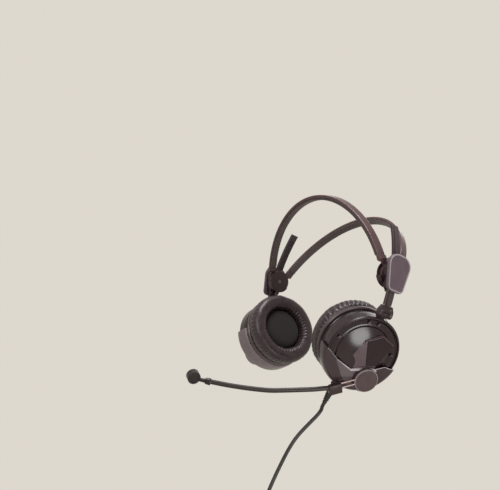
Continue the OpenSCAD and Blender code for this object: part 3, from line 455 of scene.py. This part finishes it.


# the caps: a shield outline with a narrow polished rim round a slightly sunk satin face; the rim's pale colour is
# a painted highlight
cap_rim_painted_highlight = moulded("cap_rim_painted_highlight", (0.26, 0.23, 0.245), 0.25, grain=0.3, relief=0.05, shine=0.5)
cap_width, cap_height, cap_foot, cap_crown = 24.0, 32.4, 4.6, 10.5
foot_spread, crown_square, rim_layers = 4.3, 0.8, range(2, 5)
for side, turn_over in (("left", 0), ("right", math.pi)):
    low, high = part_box(side + "_shield_cap")
    cap_middle = (Vector(low) + Vector(high)) / 2
    cap_back, cap_face = (low[0] - high[0]) / mm / 2, (high[0] - low[0]) / mm / 2

    def shield(inset):
        """The cap's outline, inset mm inside its edge: a broad crown over a narrower foot."""
        ring = []
        for a in (math.pi * i / 24 for i in range(25)):
            y = math.copysign(abs(math.cos(a)) ** crown_square, math.cos(a))
            z = math.sin(a) ** crown_square
            ring.append(Vector(((cap_width / 2 - inset) * y,
                                cap_height / 2 - cap_crown + (cap_crown - inset) * z)))
        for s, start in ((-1, math.pi), (1, 1.5 * math.pi)):
            ring += [Vector((s * foot_spread, cap_foot - cap_height / 2))
                     + (cap_foot - inset) * Vector((math.cos(a), math.sin(a)))
                     for a in (start + math.pi / 2 * i / 8 for i in range(9))]
        return ring

    # from the back: the wall, the polished rim and the sunk face, each as (inset, x)
    sheet = bmesh.new()
    layers = [(0, cap_back), (0, cap_face - 1), (0.3, cap_face - 0.3), (0.7, cap_face),
              (1.1, cap_face), (1.5, cap_face - 0.3), (3, cap_face - 0.35)]
    rows = [[sheet.verts.new((x, q.x, q.y)) for q in shield(inset)] for inset, x in layers]
    count = len(rows[0])
    for a, b in zip(rows, rows[1:]):
        for i in range(count):
            sheet.faces.new((a[i], a[(i + 1) % count], b[(i + 1) % count], b[i]))
    sheet.faces.new(rows[0])
    sheet.faces.new(rows[-1])
    cap = solid(side + "_shield_cap_piece", sheet,
                Matrix.Translation(cap_middle) @ Matrix.Rotation(turn_over, 4, "Z"))
    cap.data.materials.append(cap_grey)
    cap.data.materials.append(cap_rim_painted_highlight)
    # the rim's rows take the pale colour, a painted highlight
    for polygon in cap.data.polygons:
        if polygon.index // count in rim_layers:
            polygon.material_index = 1
    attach(cap, side + "_housing")
    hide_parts(side + "_shield_cap")

for side in ("left_", "right_"):
    dress(housing_nylon, side + "housing")
    dress(drum_nylon, side + "drum_cover")
    dress(bright_steel, side + "detent_spring", side + "hinge_pin")
    dress(screw_dull, side + "pivot_screw")

# ---- Arms ----
# A curved bar of dark grey nylon slides through each housing. Its outer face carries a
# raised land, and the bracket that holds the cup turns on a stud at its foot.
dress(moulded("arm_nylon", (0.042, 0.026, 0.03), 0.32, grain=0.4, relief=0.12, wear=0.3),
      "left_arm", "right_arm")


def fitted(piece, how, tool):
    """The piece joined with, cut by or limited to another solid, which is then used up."""
    joining = piece.modifiers.new(how.lower(), "BOOLEAN")
    joining.operation = how
    joining.object = tool
    finished(piece, joining)
    bpy.data.objects.remove(tool)
    return piece


# the brackets: two cheeks that close over the cup's knuckle, on a foot that widens from the arm
cheek_out, cheek_in, skin_in, skin_out = 6.4, 2.6, 2.72, 3.3
foot_half, foot_long, foot_top = 2.9, 4.2, 7
shoulder_half, shoulder_top = 3, 2.6
neck_in = cheek_in + 0.13
neck_outline = ((-5, -6), (5, -6), (5, 0.2), (1, 1.5), (-5, 2.4))


def barrel(radius, half):
    """The corners of a round barrel on the hinge pin, half mm long to either side."""
    return [(radius * math.cos(a), y, radius * math.sin(a))
            for a in (math.tau * i / 32 for i in range(32)) for y in (-half, half)]


def corners(xs, ys, zs):
    """Every point with its x, y and z among these."""
    return [(x, y, z) for x in xs for y in ys for z in zs]


for side in ("left", "right"):
    stud = Vector(joints[side + "_cup_turn"]["axis"]).normalized()
    if stud.dot(cup_frame(side).to_3x3().col[2]) < 0:
        stud.negate()
    tilt = joints[side + "_cup_tilt"]
    across = Vector(tilt["axis"]).normalized().cross(stud).normalized()
    pin_frame = set_at(Vector(tilt["pos_m"]), across, stud.cross(across), stud)
    bracket = hull_of(side + "_bracket_piece", barrel(skin_out, cheek_out)
                      + corners((-foot_half, foot_half), (-foot_long, foot_long), (foot_top,))
                      + corners((-shoulder_half, shoulder_half), (-cheek_out, cheek_out),
                                (shoulder_top,)), pin_frame)
    soften(bracket, 0.4)
    fitted(bracket, "DIFFERENCE", hull_of("knuckle_room", barrel(skin_in, cheek_in), pin_frame))
    fitted(bracket, "DIFFERENCE", hull_of("neck_room", [
        (x, y, z) for y in (-neck_in, neck_in) for x, z in neck_outline], pin_frame))
    bracket.data.materials.append(housing_nylon)
    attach(bracket, side + "_bracket")
    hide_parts(side + "_bracket")

# ---- Ear cups ----
# A glossy dark shell, a polished back cover with a dome and a bare panel, a grey lower cover
# round the shell, and inside them the speaker on its baffle, its microphone and a board.
shell_black = moulded("shell_black", (0.013, 0.005, 0.007), 0.26, grain=0.6, relief=0.05, wear=0.25)
cover_polished = moulded("cover_polished", (0.013, 0.005, 0.006), 0.2,
                         grain=0.9, relief=0.02, shine=0.4)
panel_polished = moulded("panel_polished", (0.014, 0.006, 0.007), 0.16, grain=0.9, relief=0.02)
# the near cup's lower cover: the grey moulding painted darker, as shade
lower_grey_painted_shade = moulded("lower_grey_painted_shade", (0.034, 0.019, 0.022), 0.22,
                     grain=0.35, relief=0.06, wear=0.4, shine=0.4)
# the chamfer along the near cover's skirt edge: a painted highlight, far paler than the cover
chamfer_painted_highlight = moulded("chamfer_painted_highlight", (0.5, 0.45, 0.46), 0.25,
                         grain=0.35, relief=0.05, shine=0.5)
# the near cup's glossy facet, with a painted reflection in its paler colour
facet_painted_reflection = moulded("facet_painted_reflection", (0.09, 0.068, 0.073), 0.16, grain=0.9, relief=0.02, shine=0.5)
# the wedge: paler than the polished cover, with light on its facets painted into the colour
wedge_satin_painted_light = moulded("wedge_satin_painted_light", (0.085, 0.056, 0.063), 0.28, grain=0.9, relief=0.03, shine=0.4)
# the far cup's lower cover: the same grey moulding painted paler, as light
lower_mauve_painted_light = moulded("lower_mauve_painted_light", (0.15, 0.12, 0.127), 0.34, grain=0.35, relief=0.06, wear=0.25)
baffle_grey = moulded("baffle_grey", (0.06, 0.042, 0.042), 0.3, grain=0.3, relief=0.1)
speaker_dark = moulded("speaker_dark", (0.07, 0.07, 0.07), 0.5)
board_green = moulded("board_green", (0.02, 0.09, 0.04), 0.4)
screw_black = metal("blackened_screw", (0.09, 0.075, 0.075), 0.35)


def shifted(place, point):
    """The frame of place, moved to a point of its own in mm."""
    return place @ Matrix.Translation(Vector(point) * mm)


def turned(name, profile, place, around=128):
    """A solid of revolution about the cup's axis from (radius, x) points; radius 0 closes it."""
    sheet = bmesh.new()
    rows = []
    for r, x in profile:
        if r == 0:
            rows.append([sheet.verts.new((x, 0, 0))])
        else:
            rows.append([sheet.verts.new((x, r * math.sin(a), r * math.cos(a)))
                         for a in (math.tau * i / around for i in range(around))])
    for a, b in zip(rows, rows[1:] + rows[:1]):
        if len(a) == 1 and len(b) == 1:
            continue
        for i in range(around):
            j = (i + 1) % around
            face = [a[i % len(a)], a[j % len(a)], b[j % len(b)], b[i % len(b)]]
            sheet.faces.new(list(dict.fromkeys(face)))
    return solid(name, sheet, place)


def slab(name, rows, place):
    """A plate through (x, outline in Y and Z) rows; the faces of its last step get material 1."""
    sheet = bmesh.new()
    rings = [[sheet.verts.new((x, y, z)) for y, z in outline] for x, outline in rows]
    sheet.faces.new(rings[0])
    sheet.faces.new(rings[-1])
    for low, high in zip(rings, rings[1:]):
        for i in range(len(low)):
            j = (i + 1) % len(low)
            wall = sheet.faces.new((low[i], low[j], high[j], high[i]))
            wall.material_index = int(high is rings[-1] and len(rings) > 2)
    return solid(name, sheet, place)


shell_radius, shell_back, ring_floor, cover_front = 33, 28.8, 27.0, 25.4
dome_radius, dome_height = 23.5, 4.4
dome_curve = (dome_radius ** 2 + dome_height ** 2) / (2 * dome_height)
dome_line = [(r, ring_floor + math.sqrt(dome_curve ** 2 - r * r) - dome_curve + dome_height)
             for r in (dome_radius * 0.985 * (1 - i / 16) for i in range(16))]
cover_profile = [(30.8, cover_front), (30.8, 27.6), (30.4, 27.9), (30.0, 27.7), (29.5, 26.9),
                 (28.4, 26.5), (26, 26.4), (24.6, 26.5), (24.0, 26.9), (23.8, 27.4), *dome_line,
                 (0, ring_floor + dome_height), (0, cover_front)]
wedge_root, wedge_height, wedge_proud, overcut = 27.2, 32.7, 0.1, 0.05
wedge_foot = [(-9.5, -3.2), (-2.6, 12.6), (10.4, 20.6), (20.2, 15.6), (16.4, -9), (-3, -14.6)]
wedge_top = [(-4.5, 12), (8, 20.5), (19.5, 16.4), (13.5, -6.5), (4.5, -8.5)]
below = far_out = 45.0
skirt_line = [(-below, -below), (-below, -2), (-31, -6), (-20, -11.8), (-4.5, -16.2), (7, -10.8),
              (17, -9.2), (24, -4.8), (below, -4.8), (below, -below)]
skirt_front = {"left": 16.0, "right": 11.8}
chamfer_start, chamfer_fall, cover_gap, shell_gap = 29.6, 12, 0.4, 0.15
pivot_at, boss_radius, boss_x, boss_bevel = Vector((11, -20)), 12.1, 31.6, 0.5
facet_root, gland_bore, gland_reach, pivot_bore, bore_end = 28.6, 3.4, 16, 2.55, 50
cups = {side: cup_frame(side) for side in ("left", "right")}
for side, place in cups.items():
    # the back cover: a grooved rim, the dome and a raised wedge whose top carries the panel
    cover = turned(side + "_back_cover_piece", cover_profile, place)
    sides = [(wedge_root, y, z) for y, z in wedge_foot]
    sides += [(wedge_height, y, z) for y, z in wedge_top]
    # its foot stands just proud of the dome
    for y, z in wedge_foot:
        bulge = math.sqrt(dome_curve ** 2 - y * y - z * z) - dome_curve + dome_height
        sides.append((ring_floor + max(0.2, bulge + wedge_proud), y, z))
    wedge = hull_of("wedge", sides, place)
    soften(wedge, 0.5)
    for part in (cover, wedge):
        part.data.materials.append(cover_polished)
        part.data.materials.append(wedge_satin_painted_light)
    # every face of the wedge takes the paler finish, painted light on its facets
    for polygon in wedge.data.polygons:
        polygon.material_index = 1
    fitted(cover, "UNION", wedge)
    upper_room = [(y, z + cover_gap if z > -below else z) for y, z in skirt_line]
    fitted(cover, "DIFFERENCE",
           slab("upper_room", [(ring_floor - overcut, upper_room), (far_out, upper_room)], place))
    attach(cover, side + "_cup")
    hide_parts(side + "_back_cover")

    # the lower cover: a skirt round the shell, a back plate, the boss and a facet that climbs to it
    front = skirt_front[side]
    lower = turned(side + "_lower_cover_piece", [
        (0, front), (34.6, front), (35.2, front + 0.7), (35.5, front + 3), (35.4, shell_back - 3.4),
        (35.0, shell_back - 1), (34.2, shell_back + 0.4), (33, shell_back + 1.1),
        (20, shell_back + 1.5), (0, shell_back + 1.9)], place)
    pivot_place = shifted(place, (0, *pivot_at))
    boss = turned("boss", [(0, shell_back - 4), (boss_radius, shell_back - 4),
                           (boss_radius, boss_x - boss_bevel), (boss_radius - boss_bevel, boss_x),
                           (0, boss_x)], pivot_place, around=96)
    # the facet runs from the skirt's upper edge to just inside the boss; on the left cup its paler colour is a
    # painted reflection
    climb = [(29.6, -30.6, -7.2), (29.9, -20, -12.6), (30.6, -5, -17),
             (facet_root, -30.6, -9), (facet_root, -27, -18), (facet_root, -10, -30)]
    climb += [(boss_x - 0.25, pivot_at.x + (boss_radius - 0.1) * math.cos(a),
               pivot_at.y + (boss_radius - 0.1) * math.sin(a))
              for a in (math.radians(d) for d in range(150, 241, 10))]
    climb += [(facet_root, pivot_at.x - 9, pivot_at.y + 2),
              (facet_root, pivot_at.x - 7, pivot_at.y - 8)]
    facet = hull_of("facet", climb, place)
    # the near cup's cover takes the painted shade, chamfer highlight and facet reflection; the far cup's takes
    # only the painted light
    finishes = (lower_grey_painted_shade, chamfer_painted_highlight, facet_painted_reflection) if side == "left" else (lower_mauve_painted_light,) * 3
    for part in (lower, facet):
        for finish in finishes:
            part.data.materials.append(finish)
    for polygon in facet.data.polygons:
        polygon.material_index = 2
    fitted(lower, "UNION", facet)
    fitted(lower, "UNION", boss)
    # the skirt's line bounds the cover and cuts its chamfer, whose pale colour on the left cup is a painted
    # highlight; shell, gland and pivot get room
    lowered = [(y, z - chamfer_fall if z > -below else z) for y, z in skirt_line]
    skirt = slab("skirt", [(0, skirt_line), (chamfer_start, skirt_line), (far_out, lowered)], place)
    for finish in lower.data.materials:
        skirt.data.materials.append(finish)
    fitted(lower, "INTERSECT", skirt)
    room_radius, room_back = shell_radius + shell_gap, shell_back + shell_gap
    fitted(lower, "DIFFERENCE", turned("shell_room", [
        (0, 0), (room_radius, 0), (room_radius, room_back), (0, room_back)], place))
    if side == "left":
        fitted(lower, "DIFFERENCE", turned("gland_room", [
            (0, -gland_reach), (gland_bore, -gland_reach),
            (gland_bore, gland_reach), (0, gland_reach)],
            shifted(place, gland_at) @ Matrix.Rotation(math.radians(90), 4, "Y"), around=32))
    fitted(lower, "DIFFERENCE", turned("bore", [
        (0, ring_floor), (pivot_bore, ring_floor), (pivot_bore, bore_end), (0, bore_end)],
        pivot_place, around=48))
    lower.data.shade_smooth()
    lower.data.set_sharp_from_angle(angle=math.radians(22))
    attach(lower, side + "_cup")
    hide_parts(side + "_lower_cover")

    dress(shell_black, side + "_cup_shell")
    dress(panel_polished, side + "_cover_panel")
    dress(baffle_grey, side + "_speaker_baffle")
    dress(speaker_dark, side + "_speaker")
    dress(board_green, side + "_circuit_board")
    dress(bright_steel, side + "_noise_mic")
    dress(screw_black, side + "_cover_screws")

# ---- Ear cushions ----
# Each is a ring of soft foam in thin black leatherette, gathered in small pleats at its outer
# seam and round the ear hole, and buttoned over the baffle's rim.
pad_outer, pad_hole, pad_back, pad_thick = 35.0, 20.8, 7.0, 16.0
pad_around, pad_across, crown_share = 480, 44, 0.47
gathers, gather_wander, gather_spread, gather_swell, skin_slack = 48, 0.10, 0.7, 0.95, 0.35


def leatherette(name, colour):
    """Thin leatherette: a pebbled grain, a soft sheen and slightly rubbed high places."""
    made, shader = blank_finish(name)
    shader["Specular IOR Level"].default_value = 0.4
    shader["Sheen Weight"].default_value = 0.03
    shader["Sheen Roughness"].default_value = 0.5
    pebbles = pattern(made, "ShaderNodeTexVoronoi", Scale=1600)
    pebbles.feature = "DISTANCE_TO_EDGE"
    creased = pattern(made, "ShaderNodeTexNoise", Scale=220, Detail=6, Distortion=0.6)
    wrinkles = creased.outputs["Fac"]
    two_shades(made, wrinkles, colour, 0.75, 1.45, 0.35, 0.75)
    uneven_gloss(made, wrinkles, 0.28, 0.46)
    fine = embossed(made, pebbles.outputs["Distance"], 0.35, 0.08)
    embossed(made, wrinkles, 0.5, 0.35, under=fine)
    return made


def step(low, high, value):
    """0 below low, 1 above high, and smooth between them."""
    t = min(1, max(0, (value - low) / (high - low)))
    return t * t * (3 - 2 * t)


def ring_mesh(name, around, across, point, place):
    """A closed ring of quads: point(i, j) in the cup's own frame, in mm."""
    sheet = bmesh.new()
    rows = [[sheet.verts.new(place @ (point(i, j) * mm)) for j in range(across)]
            for i in range(around)]
    for i in range(around):
        for j in range(across):
            k, l = (i + 1) % around, (j + 1) % across
            sheet.faces.new((rows[i][j], rows[k][j], rows[k][l], rows[i][l]))
    return piece_from(name, sheet)


def cushion_point(side):
    """The cushion's surface: its crown, its drawn-in back seam and its uneven gathers."""
    middle_radius, half = (pad_outer + pad_hole) / 2, (pad_outer - pad_hole) / 2
    crown = pad_back - pad_thick * crown_share
    seed = Vector((3.7, 9.1, 0)) if side == "left" else Vector((12.3, 1.9, 0))

    def point(i, j):
        phi, t = math.tau * i / pad_around, math.tau * (j + 0.5) / pad_across
        c, s = math.cos(t), math.sin(t)
        spin = Vector((math.cos(phi), math.sin(phi), 0))
        # each gather has its own place and strength, and is deepest at the seams
        wander = noise.noise(spin * 2.2 + seed) * gather_wander
        strength = 1 + gather_spread * noise.noise(spin * 5 + seed)
        fold = abs(math.sin(gathers / 2 * (phi + wander))) ** 0.6 - 0.7
        flank = abs(c) ** 0.9
        if c > 0:
            pull = flank * step(-0.95, 0.0, s)
        else:
            pull = 1.1 * step(0.12, 0.6, -c) * step(1.05, 0.5, s)
        # the section: a squared round, drawn in at the back, with a little slack in the skin
        tuck = 1 - 0.16 * max(0, s - 0.4)
        swell = gather_swell * strength * fold * pull
        reach = (half * abs(c) ** 0.8 * tuck + swell * abs(c)) * (1 if c > 0 else -1)
        depth = pad_thick * (1 - crown_share) * abs(s) ** 0.8
        x = crown + (min(depth, pad_back - crown) if s > 0 else -depth)
        soft = noise.noise(Vector((x, reach, 0)) * 0.11 + spin * 3.4 + seed) * skin_slack
        r = middle_radius + reach + soft * c
        x = min(pad_back, x + (soft + 0.8 * swell * (c < 0)) * s)
        return Vector((x, r * math.sin(phi), r * math.cos(phi)))
    return point


pad_leather = leatherette("pad_leatherette", (0.026, 0.014, 0.017))
for side, place in cups.items():
    pad = ring_mesh(side + "_ear_cushion_piece", pad_around, pad_across, cushion_point(side), place)
    pad.data.materials.append(pad_leather)
    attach(pad, side + "_cup")
    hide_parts(side + "_ear_cushion")

# ---- Foam discs ----
# A pad of open foam under black knitted cloth fills each ear hole, in front of the speaker. It
# bulges until it is nearly flush with the cushion, and the cushion's inner edge holds its rim.


def knitted(name, colour):
    """Thin knitted cloth: rows of small loops over dark foam."""
    made, shader = blank_finish(name)
    shader["Roughness"].default_value = 0.9
    shader["Sheen Weight"].default_value = 0.04
    stitches = pattern(made, "ShaderNodeTexVoronoi", Scale=900, Randomness=0.25).outputs["Distance"]
    two_shades(made, stitches, colour, 1.6, 0.4)
    embossed(made, stitches, 0.6, 0.2).invert = True
    return made


foam_cloth = knitted("foam_cloth", (0.008, 0.003, 0.004))
foam_radius, foam_back, foam_around, cloth_slack = 21.2, 9.2, 120, 0.12
foam_profile = [(0.02, -4.5), (0.4, -4.5), (5, -4.5), (9, -4.4), (13, -4.1), (16, -3.5),
                (18.4, -2.4), (19.8, -0.6), (20.4, 1.8), (20.6, 4.6), (foam_radius, 6.4),
                (foam_radius, foam_back - 0.4), (20.8, foam_back), (10, foam_back),
                (0.02, foam_back)]


def foam_point(i, j):
    """The foam's surface: a turned profile whose front is a little uneven."""
    r, x = foam_profile[j]
    phi = math.tau * i / foam_around
    if 1 < j < 8:
        x += cloth_slack * noise.noise(Vector((r * math.cos(phi), r * math.sin(phi), 5)) * 0.25)
    return Vector((x, r * math.sin(phi), r * math.cos(phi)))


for side, place in cups.items():
    foam = ring_mesh(side + "_foam_disc_piece", foam_around, len(foam_profile), foam_point, place)
    foam.data.materials.append(foam_cloth)
    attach(foam, side + "_cup")
    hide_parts(side + "_foam_disc")

# ---- Boom microphone ----
# A grey-brown pivot turns on the left cup's lower cover and carries two steel rods. A clamp
# slides on them and holds a gooseneck in a dark sleeve, with the capsule at its end.
rods_slope = math.radians(34.3)
rods_lead = Vector((0, -math.cos(rods_slope), -math.sin(rods_slope)))
rods_root = Vector((33.7, 6.5, -21.4))
rods_square = Vector((0, math.sin(rods_slope), -math.cos(rods_slope)))
rod_radius, rod_long, rods_apart = 0.9, 23.4, 2.05
rod_turn = rods_lead.to_track_quat("X", "Z").to_matrix().to_4x4()
rods = None
for s in (-1, 1):
    rod_place = shifted(left_cup, rods_root + rods_apart * s * rods_square) @ rod_turn
    rod = turned("boom_rods_piece", [
        (0, 0), (rod_radius, 0), (rod_radius, rod_long), (0, rod_long)], rod_place, around=24)
    rods = fitted(rods, "UNION", rod) if rods else rod
rods.data.materials.clear()
rods.data.materials.append(metal("polished_rod", (0.26, 0.2, 0.2), 0.45))
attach(rods, "boom")
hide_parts("boom_rods")

clamp_nylon = moulded("clamp_nylon", (0.022, 0.01, 0.011), 0.36, wear=0.3)
clamp_long, clamp_tall, clamp_thick, clamp_taper = 11.4, 8.6, 4.6, 1.2
clamp_along, clamp_drop, clamp_off = 23.2, 1.2, 0.6
clamp_at = (rods_root + clamp_along * rods_lead + clamp_drop * rods_square
            + Vector((clamp_off, 0, 0)))
clamp_place = left_cup @ set_at(clamp_at * mm, rods_lead, rods_square, rods_lead.cross(rods_square))
clamp = hull_of("boom_clamp_piece", corners((-clamp_long / 2, clamp_long / 2 - clamp_taper),
                                            (-clamp_tall / 2, clamp_tall / 2),
                                            (-clamp_thick / 2, clamp_thick / 2))
                + corners((clamp_long / 2,), (-3, 3), (-2.2, 2.2)), clamp_place)
soften(clamp, 0.7)
clamp.data.materials.append(clamp_nylon)
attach(clamp, "boom")
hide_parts("boom_clamp")

# the sleeve: its end is held inside the clamp, and it bends gently down to the capsule
sleeve_radius, sleeve_sunk, sleeve_rise = 2, 0.6, 1.8
boom_root = (clamp_at + (clamp_long / 2 - sleeve_sunk) * rods_lead - sleeve_rise * rods_square
             - Vector((clamp_off, 0, 0)))
boom_points = [boom_root, boom_root + Vector((0, -4.5, -1.9))] + [Vector(p) for p in (
    (33.4, -29.5, -42.3), (32.8, -40, -46.6), (32, -52, -51.4), (31, -64, -56), (29, -80, -60.5),
    (27, -96, -64.1), (25, -111, -66.8))]
boom_line = [left_cup @ (p * mm) for p in smooth_route(boom_points)]
sleeve = cable("boom_sleeve", boom_line, sleeve_radius * mm)
sleeve_rubber = moulded("boom_sleeve", (0.016, 0.009, 0.008), 0.4, grain=0.3, relief=0.2)
sleeve.data.materials.append(sleeve_rubber)
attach(sleeve, "boom")
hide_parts("boom_tube")

# the pivot: a round head whose chamfer is painted pale as a highlight, on a stem in the lower cover's boss
pivot_grey = moulded("pivot_grey", (0.062, 0.04, 0.042), 0.3, grain=0.3, relief=0.15, wear=0.35)
pivot_rim_painted_highlight = moulded("pivot_rim_painted_highlight", (0.22, 0.18, 0.185), 0.24, grain=0.3, relief=0.05, shine=0.5)
dress(pivot_grey, "right_blank_disc")
pivot_radius, pivot_x, pivot_top, pivot_sides, chamfer_row = 10.5, 31.9, 35.4, 96, 4
stem_radius, stem_foot = 2.5, 28.6
pivot = turned("boom_pivot_piece", [
    (0, stem_foot), (stem_radius, stem_foot), (stem_radius, pivot_x), (pivot_radius, pivot_x),
    (pivot_radius, pivot_top - 0.8), (pivot_radius - 0.7, pivot_top - 0.1),
    (pivot_radius - 1.3, pivot_top), (pivot_radius - 1.7, pivot_top - 0.35),
    (4, pivot_top - 0.15), (0, pivot_top - 0.1)],
    shifted(left_cup, (0, *pivot_at)), around=pivot_sides)
pivot.data.materials.append(pivot_grey)
pivot.data.materials.append(pivot_rim_painted_highlight)
# the chamfer's row takes the pale colour, a painted highlight
for polygon in pivot.data.polygons:
    if polygon.index // pivot_sides == chamfer_row:
        polygon.material_index = 1
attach(pivot, "boom")
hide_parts("boom_pivot")
dress(clamp_nylon, "cable_gland")

# the capsule: a flat round box on the sleeve's neck, turned a little outward
capsule_nylon = moulded("capsule_nylon", (0.012, 0.006, 0.006), 0.34, wear=0.2)
dress(capsule_nylon, "mic_neck")
capsule_at, capsule_turn = (22.95, -125.3, -67.9), math.radians(8)
capsule_radius, capsule_half, capsule_bevel, grille_sunk = 5.3, 3.8, 1, 0.4
capsule = turned("mic_capsule_piece", [
    (0, -capsule_half), (capsule_radius - capsule_bevel, -capsule_half),
    (capsule_radius, capsule_bevel - capsule_half), (capsule_radius, capsule_half - capsule_bevel),
    (capsule_radius - capsule_bevel, capsule_half), (3.4, capsule_half),
    (3.2, capsule_half - grille_sunk), (0, capsule_half - grille_sunk)],
    shifted(left_cup, capsule_at) @ Matrix.Rotation(capsule_turn, 4, "Z"), around=64)
capsule.data.materials.append(capsule_nylon)
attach(capsule, "boom")
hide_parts("mic_capsule")

# ---- Strain relief, strap and plugs ----
# Ribbed rubber keeps the cord from kinking at the cup. The hank's strap is woven, and the
# plugs are moulded in rubber over plated shanks.
dress(cord_jacket, "strain_relief", "cord_splitter")
dress(knitted("strap_weave", (0.02, 0.018, 0.018)), "hank_tie")
grip_long = 30


def plug_finish(name, grip_bottom):
    """Rubber above grip_bottom, and nickel plate on the shank below it."""
    made = moulded(name, (0.02, 0.018, 0.018), 0.45, grain=0.3)
    nodes, links = made.node_tree.nodes, made.node_tree.links
    shader = nodes["Principled BSDF"]
    where = nodes.new("ShaderNodeTexCoord")
    height = nodes.new("ShaderNodeSeparateXYZ")
    links.new(where.outputs["Object"], height.inputs[0])
    shank = nodes.new("ShaderNodeMath")
    shank.operation = "LESS_THAN"
    shank.inputs[1].default_value = grip_bottom
    links.new(height.outputs["Z"], shank.inputs[0])
    links.new(shank.outputs[0], shader.inputs["Metallic"])
    rubber = shader.inputs["Base Color"].links[0].from_socket
    plate = nodes.new("ShaderNodeMix")
    plate.data_type = "RGBA"
    plate.inputs["B"].default_value = (0.75, 0.72, 0.66, 1)
    links.new(shank.outputs[0], plate.inputs["Factor"])
    links.new(rubber, plate.inputs["A"])
    links.new(plate.outputs["Result"], shader.inputs["Base Color"])
    return made


for name, route in leg_routes.items():
    plug, top = name.replace("leg", "plug"), leg_start + Vector(route[-1])
    dress(plug_finish(plug + "_finish", hinge.z + (top.z - grip_long) * mm), plug)
